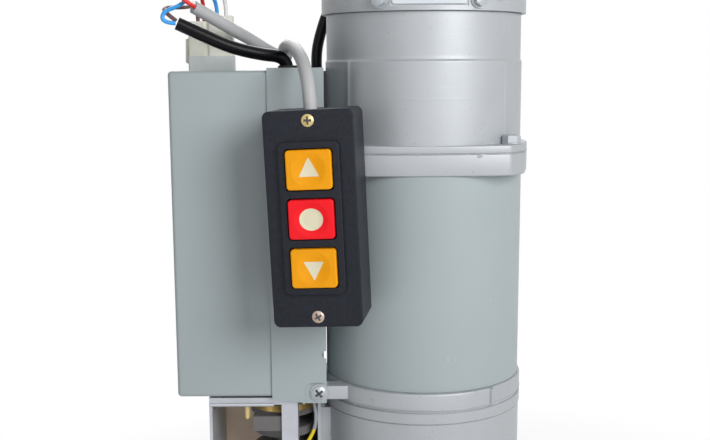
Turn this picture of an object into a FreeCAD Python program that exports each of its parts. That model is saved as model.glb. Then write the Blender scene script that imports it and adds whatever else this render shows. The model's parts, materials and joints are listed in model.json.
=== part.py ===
"""Roller-shutter motor with control box, push-button station and limit unit.

Sizes are in millimetres. The motor axis is Z, the mounting face is Z = 0, the front of the motor
looks along -Y and the control box stands on its -X side.
"""
import FreeCAD, Part
import math
import os
import re
import Sketcher
from FreeCAD import Placement, Rotation, Vector

SIZES = {
    # Mounting flange and gear case
    "flange_side": 150, "flange_thick": 12, "bolt_edge": 15, "bolt_hole_r": 5.5,
    "pilot_r": 40, "pilot_height": 6,
    "case_r": 66, "case_wall": 9, "case_height": 72, "case_fillet": 2.5, "mouth_height": 16,
    "gusset_thick": 8, "gusset_reach": 90, "gusset_height": 34,
    "limit_pad_reach": 3, "limit_pad_width": 44, "belt_window_width": 32, "belt_window_height": 11,
    # Rim plate and end shields
    "rim_step": 0.6, "rim_height": 10, "rim_groove": 1.2,
    "shield_step": 1.5, "shield_height": 10.5, "shield_plate": 6, "register_height": 4,
    "register_wall": 5,
    "front_panel_proud": 1.5, "front_panel_half_angle": 45, "front_panel_turn": -7,
    "rib_width": 4, "rib_angle": -52,
    "lug_offset": 8, "lug_reach": 18, "lug_depth": 12, "lug_lift": 1.4, "lug_height": 9,
    "upper_height": 13.7, "flange_flat_step": 1.2, "flange_flat_half": 20, "flange_front_inset": 14,
    "chamfer_inset_x": 4, "chamfer_inset_y": 19, "casting_corner_r": 5,
    "upper_lug_lift": 2, "upper_lug_height": 10,
    # Motor
    "tube_r": 65, "tube_wall": 4, "tube_length": 136.5,
    "stator_lift": 25.5, "stator_height": 86, "stator_bore_r": 38,
    "slot_count": 24, "slot_width": 4.5, "slot_depth": 12,
    "winding_step": 2, "winding_build": 13, "winding_overhang": 17,
    "rotor_gap": 0.6, "end_ring_height": 8, "end_ring_width": 9,
    "core_r": 9, "journal_r": 7.5, "brake_shaft_r": 7, "pinion_shaft_r": 4.5,
    "bearing_r": 17.5, "bearing_height": 10, "tie_rod_r": 2.5, "tie_rod_inset": 3.5,
    # Brake and top cover
    "brake_flange_thick": 5.1, "brake_height": 85.9, "brake_step": 1.7, "brake_wall": 5.3,
    "panel_proud": 1.3, "panel_height": 51.7, "panel_half_angle": 50, "drum_step": 0.8,
    "disc_inset": 9, "disc_height": 8, "armature_gap": 3, "armature_height": 6, "magnet_height": 30,
    "brake_gap": 0.3, "brake_travel": 0.5, "stud_r": 3, "stud_inset": 4.5, "stud_count": 3,
    "spring_r": 4, "spring_wire": 1.2, "spring_radius": 30, "spring_height": 12,
    "cover_step": 1.3, "cover_height": 30, "cover_wall": 7, "cover_skirt": 18, "cover_boss_r": 24,
    "cover_boss_height": 5, "spigot_height": 9,
    "recess_width": 47, "recess_height": 19, "recess_lift": 2.7, "recess_depth": 5.1, "recess_plate": 1,
    "cover_bolt_angle": 26.5, "cover_bolt_lift": 6.5,
    "chain_wheel_r": 47, "chain_wheel_width": 22, "chain_groove": 9, "chain_hub_r": 15,
    "chain_hub_drop": 4,
    "chain_pocket_width": 6.2, "chain_pocket_count": 12, "chain_shaft_r": 8,
    # Hex bolts
    "bolt_inset_x": 12.5, "bolt_inset_y": 18.5, "flange_bolt_flats": 10, "bolt_head": 4.6, "bolt_r": 3,
    "flange_bolt_length": 14, "case_bolt_length": 14,
    # Gear train
    "gear_module": 1.1, "pinion_teeth": 14, "wheel_teeth": 42, "gear_backlash": 0.16, "wheel_width": 10,
    "tooth_tip": 0.8, "tooth_root": 1.05, "gear_clearance": 2.22,
    "output_wheel_lift": 2, "counter_wheel_lift": 11, "counter_shaft_r": 5, "output_shaft_r": 10,
    "output_reach": 46, "output_bearing_r": 21, "output_bearing_height": 12, "seal_r": 16,
    "sprocket_teeth": 14, "sprocket_pitch": 12.7, "roller_r": 4.1, "sprocket_width": 7.2,
    "sprocket_low": -30, "sprocket_hub_r": 19, "sprocket_hub_height": 14,
    # Limit unit
    "limit_offset": 26, "limit_width": 71.5, "limit_front": -46, "limit_back": 28, "limit_sheet": 2,
    "limit_lip": 5, "post_offset": 14, "post_width": 10.5, "post_depth": 14,
    "output_pulley_r": 16, "limit_pulley_r": 11, "belt_thick": 1.6, "belt_width": 6, "pulley_lift": 5,
    "belt_gap": 0.3, "screw_r": 9, "screw_end_r": 6, "limit_disc_r": 22.5, "limit_disc_drop": 21.2,
    "limit_disc_height": 11, "brass_ring_r": 17, "brass_ring_width": 6, "brass_ring_height": 3,
    "nut_r": 20, "nut_height": 6, "nut_lift": 21, "nut_spacing": 15, "nut_travel": 6,
    "guide_width": 6, "guide_y": 15, "guide_depth": 6,
    "switch_length": 20, "switch_height": 10, "switch_depth": 8, "switch_lever_width": 7,
    # Control box
    "box_gap": 3, "box_width": 92, "box_front": -50, "box_back": 30, "box_lift": 4, "box_height": 207.5,
    "sheet": 1.5, "sheet_gap": 0.15, "bend_r": 2.6, "seam_offset": 31, "seam_lap": 4,
    "panel_overhang": 4, "panel_drop": 5,
    "pocket_offset": 10, "pocket_height": 9.5, "pocket_depth": 2.5, "pocket_corner_r": 5,
    "panel_screw_offset": 1, "panel_screw_lift": 2.5, "panel_hole_lift": 28, "panel_hole_r": 2.7,
    "pan_head_r": 5.3, "pan_head_height": 3.2, "pan_shank_r": 2.4, "pan_shank_length": 9,
    "contactor_width": 34, "contactor_depth": 42, "contactor_height": 44, "contactor_lift": 60,
    "capacitor_r": 17, "capacitor_height": 70,
    "terminal_length": 64, "terminal_height": 14, "terminal_depth": 22, "terminal_drop": 42,
    # Plug and cables
    "plug_offset": 6, "plug_width": 29.5, "plug_y": 6, "plug_depth": 15, "plug_collar": 9.5,
    "plug_low_height": 22.4, "plug_high_height": 26, "plug_groove": 4, "plug_step": 12,
    "cable_r": 4, "core_wire_r": 1.3, "lead_r": 3.8, "limit_lead_r": 1.2,
    "grommet_r": 6.6, "grommet_height": 1.5, "grommet_ease": 0.8,
    "mains_offset": 19.5, "mains_y": -22, "lead_offset": 7.6, "lead_drop": 17.5,
    "gland_angle": 140, "gland_lift": 11.4, "gland_proud": 4.7,
    # Push-button station, in its own axes: X across, Y into the case, Z up
    "station_offset": 4, "station_gap": 14.5, "station_lift": 122.3, "station_yaw": 8,
    "station_roll": 2.5,
    "station_width": 53, "station_height": 126.5, "station_depth": 40, "station_split": 16,
    "station_wall": 3,
    "station_corner_r": 4, "station_edge_r": 0.8,
    "bezel_width": 36, "bezel_height": 89, "bezel_proud": 3, "bezel_corner_r": 4, "bezel_lift": 1,
    "button_width": 27.6, "button_height": 23.6, "button_spacing": 4.9, "button_gap": 0.4,
    "button_corner_r": 2.5, "button_edge_r": 0.8, "button_dish_r": 9.4, "button_dish": 0.9,
    "button_proud": 2.2, "button_travel": 3, "button_length": 14, "button_skirt": 1.6,
    "block_width": 30, "block_height": 84, "station_screw_inset": 6, "station_screw_r": 3.7,
    # Clearances
    "fit_gap": 0.05, "face_gap": 0.3,
}

# Heights along the motor axis
Z_RIM = "case_height"
Z_SHIELD = "case_height + rim_height"
Z_TUBE = f"{Z_SHIELD} + shield_height"
Z_UPPER = f"{Z_TUBE} + tube_length"
Z_BRAKE = f"{Z_UPPER} + upper_height"
Z_COVER = f"{Z_BRAKE} + brake_height"
Z_DISC = f"{Z_BRAKE} + brake_gap"
Z_ARMATURE = f"{Z_DISC} + disc_height + brake_gap"
Z_MAGNET = f"{Z_ARMATURE} + armature_height + brake_travel + brake_gap"

# Sizes and places that follow from the sheet, each by its own clearance
PLACES = {
    # Gear case, rim plate and gear train
    "bolt_pitch": "flange_side - 2 * bolt_edge",
    "rim_r": "case_r + rim_step",
    "case_bolt_radius": "case_r - case_wall / 2",
    "gear_distance": "gear_module * ( pinion_teeth + wheel_teeth ) / 2",
    "gear_room_r": "gear_distance + gear_module * ( wheel_teeth / 2 + tooth_tip ) + gear_clearance",
    "pulley_low": "flange_thick + pulley_lift",
    "output_wheel_low": "pulley_low + belt_width + output_wheel_lift",
    "counter_wheel_low": "output_wheel_low + wheel_width + counter_wheel_lift",
    # Shields, brake and cover on the motor tube
    "shield_r": "tube_r + shield_step",
    "front_panel_r": "shield_r + front_panel_proud",
    "flange_front": "tube_r",
    "flange_flat_x": "tube_r + flange_flat_step",
    "flange_front_half": "tube_r - flange_front_inset",
    "flange_chamfer_x": "tube_r - chamfer_inset_x",
    "flange_chamfer_y": "tube_r - chamfer_inset_y",
    "flange_bolt_x": "tube_r - bolt_inset_x",
    "flange_bolt_y": "tube_r - bolt_inset_y",
    "tie_rod_radius": "tube_r - tube_wall - tie_rod_inset",
    "stator_low": f"{Z_TUBE} + stator_lift",
    "winding_in_r": "stator_bore_r + winding_step",
    "winding_out_r": "winding_in_r + winding_build",
    "brake_r": "tube_r - brake_step",
    "panel_r": "brake_r + panel_proud",
    "armature_r": "brake_r - brake_wall - armature_gap",
    "stud_radius": "armature_r - stud_inset",
    "disc_r": "armature_r - disc_inset",
    "cover_r": "tube_r + cover_step",
    "recess_plane": "cover_r - recess_depth",
    "gland_z": f"{Z_COVER} + gland_lift",
    "gland_reach": "cover_r + gland_proud",
    # Control box beside the tube
    "box_right": "0 - tube_r - box_gap",
    "box_left": "box_right - box_width",
    "box_low": f"{Z_SHIELD} + box_lift",
    "box_top": "box_low + box_height",
    "seam_x": "box_right - seam_offset",
    "panel_right": "box_right + panel_overhang",
    "pocket_left": "box_right - pocket_offset",
    "pocket_top": "box_low + pocket_height",
    "lug_left": "box_right - lug_offset",
    "lug_right": "box_right + lug_reach",
    "lug_low": f"{Z_SHIELD} + lug_lift",
    "lug_high": "lug_low + lug_height",
    "upper_lug_low": f"{Z_UPPER} + upper_lug_lift",
    "upper_lug_high": "upper_lug_low + upper_lug_height",
    "panel_screw_x": "box_right - panel_screw_offset",
    "panel_screw_z": "box_low + panel_screw_lift",
    "upper_screw_z": "upper_lug_low + upper_lug_height / 2",
    "panel_hole_z": "box_low + panel_hole_lift",
    "mains_x": "box_right - mains_offset",
    "lead_x": "box_right - lead_offset",
    "lead_z": "box_top - lead_drop",
    "plug_left": "box_left + plug_offset",
    "plug_right": "plug_left + plug_width",
    "plug_step_x": "plug_left + plug_step",
    "plug_joint": "box_top + plug_collar",
    "plug_low_column": "plug_joint + plug_low_height",
    "plug_high_column": "plug_joint + plug_high_height",
    # Limit unit between the flange and the box
    "limit_pad_x": "0 - case_r - limit_pad_reach",
    "limit_x": "limit_pad_x - limit_offset",
    "limit_left": "limit_pad_x - limit_width",
    "limit_low": "flange_thick",
    "limit_top": "box_low - sheet - 2 * sheet_gap",
    "limit_disc_low": "limit_top - limit_disc_drop",
    "post_right": "limit_pad_x - post_offset",
    "post_left": "post_right - post_width",
    "nut_low": "limit_low + nut_lift",
    # Station in front of the box
    "station_x": "box_right + station_offset",
    "station_y": "box_front - station_gap",
    "station_z": "box_low + station_lift",
    "station_screw_z": "station_height / 2 - station_screw_inset",
    "button_pitch": "button_height + button_spacing",
}

doc = FreeCAD.newDocument("roller_shutter_motor")
dims = doc.addObject("Spreadsheet::Sheet", "dims")
for row, (alias, number) in enumerate(SIZES.items(), 1):
    dims.set(f"A{row}", alias)
    dims.set(f"B{row}", str(number))
    dims.setAlias(f"B{row}", alias)
probe = doc.addObject("App::FeaturePython", "probe")
probe.addProperty("App::PropertyFloat", "Number")
doc.recompute()

NODES = []
PLANE_OF_AXIS = {"x": "YZ_Plane", "y": "XZ_Plane", "z": "XY_Plane"}
TURN_TO_AXIS = {
    "x": Rotation(Vector(0, 1, 0), 90),
    "y": Rotation(Vector(1, 0, 0), -90),
    "z": Rotation(),
}


# Helpers: every size is an expression on the sheet

def q(text):
    """Turn words of the sheet and of the places into an expression, such as 'tube_r - tube_wall'."""
    def spelled(word):
        name = word[0]
        if name in PLACES:
            return f"( {q(PLACES[name])} )"
        return "dims." + name if name in SIZES else name
    return re.sub(r"[a-z]\w*", spelled, str(text))


def value(text):
    """The number that an expression on the sheet has now."""
    probe.setExpression("Number", q(text))
    probe.recompute()
    return probe.Number


def bind(obj, **sizes):
    """Set properties of a piece by expressions."""
    for prop, text in sizes.items():
        obj.setExpression(prop, q(text))
    return obj


def place(obj, x=0, y=0, z=0):
    """Set where a piece stands by expressions."""
    for axis, text in zip("xyz", (x, y, z)):
        obj.setExpression("Placement.Base." + axis, q(text))
    return obj


def turned(obj, angle):
    """Turn a piece about the motor axis."""
    obj.Placement = Placement(Vector(), Rotation(Vector(0, 0, 1), 0))
    obj.setExpression("Placement.Rotation.Angle", q(angle))
    return obj


def block(name, low, high):
    """A box between two corners."""
    box = doc.addObject("Part::Box", name)
    for prop, start, end in zip(("Length", "Width", "Height"), low, high):
        box.setExpression(prop, q(f"( {end} ) - ( {start} )"))
    return place(box, *low)


def rod(name, radius, base, length, axis="z"):
    """A round bar that starts at base and runs along an axis."""
    bar = doc.addObject("Part::Cylinder", name)
    bar.Placement = Placement(Vector(), TURN_TO_AXIS[axis])
    return place(bind(bar, Radius=radius, Height=length), *base)


def fuse(name, *pieces):
    """Pieces joined to one."""
    joined = doc.addObject("Part::MultiFuse", name)
    joined.Shapes = list(pieces)
    joined.Refine = True
    return joined


def cut(name, base, *tools):
    """A base with tools taken out of it."""
    result = doc.addObject("Part::Cut", name)
    result.Base = base
    result.Tool = tools[0] if len(tools) == 1 else fuse(name + "_tools", *tools)
    result.Refine = True
    return result


def group(name, pieces):
    """Like pieces kept as one sub-part of several solids."""
    together = doc.addObject("Part::Compound", name)
    together.Links = list(pieces)
    return together


def body_with_sketch(name, plane, outline):
    """A body and a closed sketch whose corners are held by bound distances."""
    body = doc.addObject("PartDesign::Body", name)
    sketch = body.newObject("Sketcher::SketchObject", name + "_sketch")
    origin = [item for item in body.Origin.OriginFeatures if item.Role == plane][0]
    sketch.AttachmentSupport = [(origin, "")]
    sketch.MapMode = "FlatFace"
    corners = [Vector(value(across), value(up), 0) for across, up in outline]
    count = len(corners)
    for index in range(count):
        sketch.addGeometry(Part.LineSegment(corners[index], corners[(index + 1) % count]), False)
    for index in range(count):
        sketch.addConstraint(Sketcher.Constraint("Coincident", index, 2, (index + 1) % count, 1))
    for index, (across, up) in enumerate(outline):
        for kind, text, number in (("DistanceX", across, corners[index].x),
                                   ("DistanceY", up, corners[index].y)):
            held = sketch.addConstraint(Sketcher.Constraint(kind, -1, 1, index, 1, number))
            sketch.setExpression(f"Constraints[{held}]", q(text))
    return body, sketch


def lathe(name, outline, x=0, y=0, z=0):
    """A turned piece from its half section, given as radius and height pairs."""
    body, sketch = body_with_sketch(name, "XZ_Plane", outline)
    spin = body.newObject("PartDesign::Revolution", name + "_turn")
    spin.Profile = sketch
    spin.ReferenceAxis = (sketch, ["V_Axis"])
    spin.Angle = 360
    return place(body, x, y, z)


def prism(name, axis, outline, low, high, radius=None, corner=None):
    """An outline carried along an axis from low to high, with its corners rounded."""
    body, sketch = body_with_sketch(name, PLANE_OF_AXIS[axis], outline)
    start = f"- ( {high} )" if axis == "y" else low
    sketch.setExpression("AttachmentOffset.Base.z", q(start))
    pad = body.newObject("PartDesign::Pad", name + "_pad")
    pad.Profile = sketch
    bind(pad, Length=f"( {high} ) - ( {low} )")
    if radius:
        way = TURN_TO_AXIS[axis].multVec(Vector(0, 0, 1))

        def is_corner(edge):
            first, last = edge.Vertexes[0].Point, edge.Vertexes[-1].Point
            runs_along = abs((last - first).normalize().dot(way)) > 0.999
            return runs_along and (corner is None or corner((first + last) / 2))

        round_edges(body, name + "_round", radius, is_corner)
    return body


def round_edges(body, name, radius, chosen):
    """Round those edges of a body's last feature that a test chooses."""
    doc.recompute()
    base = body.Tip
    edges = [f"Edge{index}" for index, edge in enumerate(base.Shape.Edges, 1) if chosen(edge)]
    rounding = body.newObject("PartDesign::Fillet", name)
    rounding.Base = (base, edges)
    bind(rounding, Radius=radius)
    return body


def at_level(axis, level):
    """A test for edges that lie in the plane across an axis at a level."""
    number = value(level)
    return lambda edge: all(abs(getattr(end.Point, axis) - number) < 0.01 for end in edge.Vertexes)


def slab(name, axis, across, up, along, radius=None, corner=None):
    """A rectangular plate with rounded corners."""
    outline = [(across[0], up[0]), (across[1], up[0]), (across[1], up[1]), (across[0], up[1])]
    return prism(name, axis, outline, along[0], along[1], radius, corner)


def centred(width, middle=0):
    """The two ends of a width about its middle."""
    return f"{middle} - ( {width} ) / 2", f"{middle} + ( {width} ) / 2"


def solid(name, shape):
    """A shape worked out with Part's own functions."""
    feature = doc.addObject("Part::Feature", name)
    feature.Shape = shape
    return feature


def node(label, obj):
    """Name a finished sub-part, which becomes one file."""
    obj.Label = label
    NODES.append(obj)
    return obj


def sector(name, outer, inner, low, height, half_angle, turn):
    """A part of a ring, about a middle direction in degrees from -Y."""
    ring = cut(name, rod(name + "_outer", outer, (0, 0, low), height),
               rod(name + "_inner", inner, (0, 0, low), height))
    for piece in (ring.Base, ring.Tool):
        bind(piece, Angle=f"2 * {half_angle}")
    ring.Placement = Placement(Vector(), Rotation(Vector(0, 0, 1), 0))
    ring.setExpression("Placement.Rotation.Angle", q(f"-90 + {turn} - {half_angle}"))
    return ring


def hex_bolt(name, flats, head, shank_r, shank_length):
    """A hexagon bolt standing on its shank, with the seat of its head at Z = 0."""
    top = doc.addObject("Part::Prism", name + "_head")
    top.Polygon = 6
    bind(top, Circumradius=f"{flats} / sqrt(3)", Height=head)
    return fuse(name, top, rod(name + "_shank", shank_r, (0, 0, f"0 - {shank_length}"), shank_length))


def pan_screw(name, radius, head, shank_r, shank_length):
    """A cross-recess pan-head screw along -Y, with the seat of its head at Y = 0."""
    outline = [
        ("0", f"0 - ( {shank_length} )"), (shank_r, f"0 - ( {shank_length} )"), (shank_r, "0"),
        (radius, "0"),
        (radius, f"0.35 * {head}"), (f"0.8 * {radius}", f"0.8 * {head}"), (f"0.4 * {radius}", head),
        ("0", head),
    ]
    turned_head = lathe(name + "_turned", outline)
    arms = []
    for index, (long_x, long_y) in enumerate(((1.1, 0.26), (0.26, 1.1))):
        half_x, half_y = f"{radius} * {long_x / 2}", f"{radius} * {long_y / 2}"
        arms.append(block(f"{name}_arm_{index}", (f"0 - {half_x}", f"0 - {half_y}", f"0.45 * {head}"),
                          (half_x, half_y, f"{head} + 1")))
    return cut(name, turned_head, *arms)


# Inner radii and the directions of the bolts
CASE_IN = "( case_r - case_wall )"
TUBE_IN = "( tube_r - tube_wall )"
BRAKE_IN = "( brake_r - brake_wall )"
DIAGONALS = (45, 135, 225, 315)


# Gear case with its mounting flange

def turned_rod(name, radius, distance, angle, low, height):
    """A bar along Z at a distance from the motor axis and an angle from +X."""
    across = f"{distance} * cos({angle} * 1 deg)"
    return rod(name, radius, (across, f"{distance} * sin({angle} * 1 deg)", low), height)


def gear_case():
    """Cast case of the gears with gussets, a square flange, a spigot and a pad for the limit unit."""
    side = centred("flange_side")
    flange = slab("flange", "z", side, side, ("0", "flange_thick"), "bolt_edge")
    barrel = lathe("barrel", [
        ("0", "0 - pilot_height"), ("pilot_r", "0 - pilot_height"), ("pilot_r", "0"),
        ("case_r", "0"), ("case_r + case_fillet", "flange_thick"),
        ("case_r", "flange_thick + case_fillet"),
        ("case_r", "case_height - 0.8"), ("case_r - 0.8", "case_height"), ("0", "case_height")])
    gussets = []
    for angle in DIAGONALS:
        web = prism(f"gusset_{angle}", "y",
                    [("case_r - 6", "flange_thick - 1"), ("gusset_reach", "flange_thick - 1"),
                     ("gusset_reach", "flange_thick + 2"), ("case_r - 1", "flange_thick + gusset_height"),
                     ("case_r - 6", "flange_thick + gusset_height")],
                    "0 - gusset_thick / 2", "gusset_thick / 2")
        gussets.append(turned(web, angle))
    pad = block("limit_pad", ("limit_pad_x", "0 - limit_pad_width / 2", "flange_thick - 1"),
                ("0 - case_r + case_wall - 1", "limit_pad_width / 2", "case_height - 2"))
    rough = fuse("gear_case_rough", flange, barrel, pad, *gussets)
    hollow = lathe("case_hollow", [("0", "0 - pilot_height - 1"), ("seal_r", "0 - pilot_height - 1"),
                                   ("seal_r", "0"),
                                   ("output_bearing_r", "0"), ("output_bearing_r", "flange_thick"),
                                   ("gear_room_r", "flange_thick"),
                                   ("gear_room_r", "case_height - mouth_height"),
                                   (CASE_IN, "case_height - mouth_height"), (CASE_IN, "case_height + 1"),
                                   ("0", "case_height + 1")])
    tools = [hollow]
    for index, (sx, sy) in enumerate(((1, 1), (-1, 1), (-1, -1), (1, -1))):
        tools.append(rod(f"mount_hole_{index}", "bolt_hole_r",
                         (f"{sx} * bolt_pitch / 2", f"{sy} * bolt_pitch / 2", "-1"), "flange_thick + 40"))
    for index in range(4):
        tools.append(turned_rod(f"case_tap_{index}", "bolt_r", "case_bolt_radius", 45 + 90 * index,
                                "case_height - case_bolt_length", "case_bolt_length + 1"))
    tools.append(block("belt_window", ("limit_pad_x - 1", "0 - belt_window_width / 2", "pulley_low - 2"),
                       ("0 - case_r / 2", "belt_window_width / 2",
                        "pulley_low - 2 + belt_window_height")))
    tools.append(rod("counter_seat", "counter_shaft_r + fit_gap",
                     (0, "gear_distance", "flange_thick - 8"), "9"))
    node("gear_case", cut("gear_case_cut", rough, *tools))


def gear_plate():
    """Plate that closes the gear case, with its rim outside, its four bolts and the rotor bearing's seat."""
    plate = lathe("rim_plate", [
        ("0", f"{Z_RIM} - 2"), (f"{CASE_IN} - fit_gap", f"{Z_RIM} - 2"), (f"{CASE_IN} - fit_gap", Z_RIM),
        ("rim_r", Z_RIM), ("rim_r", f"{Z_RIM} + rim_height - 3.4"),
        ("rim_r - rim_groove", f"{Z_RIM} + rim_height - 2.6"),
        ("rim_r - rim_groove", f"{Z_RIM} + rim_height"),
        ("0", f"{Z_RIM} + rim_height")])
    bore = lathe("rim_bore", [
        ("0", f"{Z_RIM} - 3"), ("bearing_r - 4", f"{Z_RIM} - 3"), ("bearing_r - 4", Z_RIM),
        ("bearing_r + fit_gap", Z_RIM), ("bearing_r + fit_gap", f"{Z_SHIELD} + 1"),
        ("0", f"{Z_SHIELD} + 1")])
    tools = [bore, rod("counter_bore", "counter_shaft_r + fit_gap", (0, "gear_distance", f"{Z_RIM} - 3"),
                       "9")]
    for index, angle in enumerate(DIAGONALS):
        tools.append(turned_rod(f"rim_hole_{index}", "bolt_r + fit_gap", "case_bolt_radius", angle,
                                f"{Z_RIM} - 1", "20"))
        tools.append(turned_rod(f"rim_sink_{index}", "bolt_r * 1.4", "case_bolt_radius", angle,
                                f"{Z_SHIELD} - bolt_head", "20"))
        tools.append(turned_rod(f"rim_tap_{index}", "tie_rod_r + fit_gap", "tie_rod_radius", angle + 25,
                                f"{Z_SHIELD} - 6", "20"))
    node("gear_plate", cut("gear_plate_cut", plate, *tools))
    bolts = []
    for index, angle in enumerate(DIAGONALS):
        shank = turned_rod(f"case_bolt_shank_{index}", "bolt_r - fit_gap", "case_bolt_radius", angle,
                           "case_height - case_bolt_length + 1",
                           "rim_height + case_bolt_length - 1 - bolt_head")
        head = turned_rod(f"case_bolt_head_{index}", "bolt_r * 1.4 - fit_gap", "case_bolt_radius", angle,
                          f"{Z_SHIELD} - bolt_head", "bolt_head - 0.2")
        bolts.append(fuse(f"case_bolt_{index}", shank, head))
    node("gear_plate_bolts", group("gear_plate_bolt_set", bolts))


# Motor end shields, tube and windings

def lower_end_shield():
    """Cast ring under the tube with a raised front panel, a rib and the box's lower lug."""
    ring = lathe("lower_ring", [
        ("0", Z_SHIELD), ("shield_r", Z_SHIELD), ("shield_r", f"{Z_TUBE} - 2"),
        ("shield_r - 1.5", Z_TUBE),
        (f"{TUBE_IN} - fit_gap", Z_TUBE), (f"{TUBE_IN} - fit_gap", f"{Z_TUBE} + register_height"),
        (f"{TUBE_IN} - register_wall", f"{Z_TUBE} + register_height"),
        (f"{TUBE_IN} - register_wall", f"{Z_SHIELD} + shield_plate"),
        ("0", f"{Z_SHIELD} + shield_plate")])
    front = sector("front_panel", "front_panel_r", "shield_r - 3", f"{Z_SHIELD} + 1", "shield_height - 3",
                   "front_panel_half_angle", "front_panel_turn")
    rib = slab("shield_rib", "z", ("shield_r - 3", "front_panel_r + 0.6"), centred("rib_width"),
               (f"{Z_SHIELD} + 1", f"{Z_TUBE} - 1"))
    lug = slab("lower_lug", "y", ("lug_left", "lug_right"), ("lug_low", "lug_high"),
               ("box_front + pocket_depth - sheet_gap", "box_front + pocket_depth + lug_depth"), "1.5")
    rough = fuse("lower_shield_rough", ring, front, turned(rib, "rib_angle"), lug)
    tools = [lathe("lower_opening", [("0", f"{Z_SHIELD} - 1"), ("bearing_r + fit_gap", f"{Z_SHIELD} - 1"),
                                     ("bearing_r + fit_gap", f"{Z_SHIELD} + 20"),
                                     ("0", f"{Z_SHIELD} + 20")]),
             rod("lug_tap", "pan_shank_r + fit_gap",
                 ("panel_screw_x", "box_front + pocket_depth - 1", "panel_screw_z"),
                 "pan_shank_length + 2", "y")]
    for index, angle in enumerate(DIAGONALS):
        tools.append(turned_rod(f"lower_pass_{index}", "tie_rod_r + fit_gap", "tie_rod_radius",
                                angle + 25,
                                f"{Z_SHIELD} - 1", "40"))
    node("lower_end_shield", cut("lower_shield_cut", rough, *tools))


def octagon():
    """Half-turn symmetric outline of the cast flange between the motor and the brake."""
    corner = [("flange_front_half", "flange_front"), ("flange_chamfer_x", "flange_chamfer_y"),
              ("flange_flat_x", "flange_flat_half")]
    mirrored = [(x, f"0 - {y}") for x, y in reversed(corner)]
    right = corner + mirrored
    left = [(f"0 - {x}", y) for x, y in reversed(right)]
    return right + left


def upper_end_shield():
    """Cast plate on the tube with the upper bearing's seat and the box's upper lug."""
    plate = prism("upper_plate", "z", octagon(), Z_UPPER, Z_BRAKE, "casting_corner_r")
    register = lathe("upper_register", [
        (f"{TUBE_IN} - register_wall", f"{Z_UPPER} - register_height"),
        (f"{TUBE_IN} - fit_gap", f"{Z_UPPER} - register_height"),
        (f"{TUBE_IN} - fit_gap", f"{Z_UPPER} + 1"), (f"{TUBE_IN} - register_wall", f"{Z_UPPER} + 1")])
    lug = slab("upper_lug", "y", ("lug_left", "lug_right"), ("upper_lug_low", "upper_lug_high"),
               ("box_front", "box_front + lug_depth + 4"), "1.5")
    rough = fuse("upper_shield_rough", plate, register, lug)
    tools = [lathe("upper_bore", [
        ("0", f"{Z_UPPER} - 1"), ("bearing_r - 4", f"{Z_UPPER} - 1"),
        ("bearing_r - 4", f"{Z_BRAKE} - bearing_height"),
        ("bearing_r + fit_gap", f"{Z_BRAKE} - bearing_height"), ("bearing_r + fit_gap", f"{Z_BRAKE} + 1"),
        ("0", f"{Z_BRAKE} + 1")]),
        rod("upper_lug_tap", "pan_shank_r + fit_gap", ("panel_screw_x", "box_front - 1", "upper_screw_z"),
            "pan_shank_length + 2", "y")]
    for index, angle in enumerate(DIAGONALS):
        tools.append(turned_rod(f"upper_pass_{index}", "tie_rod_r + fit_gap", "tie_rod_radius",
                                angle + 25,
                                f"{Z_UPPER} - 10", "40"))
        tools.append(turned_rod(f"upper_sink_{index}", "tie_rod_r * 1.7", "tie_rod_radius", angle + 25,
                                f"{Z_BRAKE} - 4", "20"))
    tools += flange_bolt_bars("upper_tap", "bolt_r", f"{Z_UPPER} + 1", "40")
    node("upper_end_shield", cut("upper_shield_cut", rough, *tools))


def flange_bolt_bars(name, radius, low, height):
    """Four bars at the places of the flange bolts."""
    bars = []
    for index, (sx, sy) in enumerate(((1, 1), (-1, 1), (-1, -1), (1, -1))):
        bars.append(rod(f"{name}_{index}", radius,
                        (f"{sx} * flange_bolt_x", f"{sy} * flange_bolt_y", low), height))
    return bars


def motor_shell():
    """The painted tube and the four rods that hold the shields on it."""
    node("motor_tube", lathe("motor_tube_body", [(TUBE_IN, Z_TUBE), ("tube_r", Z_TUBE),
                                                 ("tube_r", Z_UPPER),
                                                 (TUBE_IN, Z_UPPER)]))
    rods = []
    for index, angle in enumerate(DIAGONALS):
        shank = turned_rod(f"tie_shank_{index}", "tie_rod_r", "tie_rod_radius", angle + 25,
                           f"{Z_SHIELD} - 5",
                           f"{Z_BRAKE} - 4 - ( {Z_SHIELD} - 5 )")
        head = turned_rod(f"tie_head_{index}", "tie_rod_r * 1.6", "tie_rod_radius", angle + 25,
                          f"{Z_BRAKE} - 4", "3.6")
        rods.append(fuse(f"tie_rod_{index}", shank, head))
    node("tie_rods", group("tie_rod_set", rods))


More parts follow.
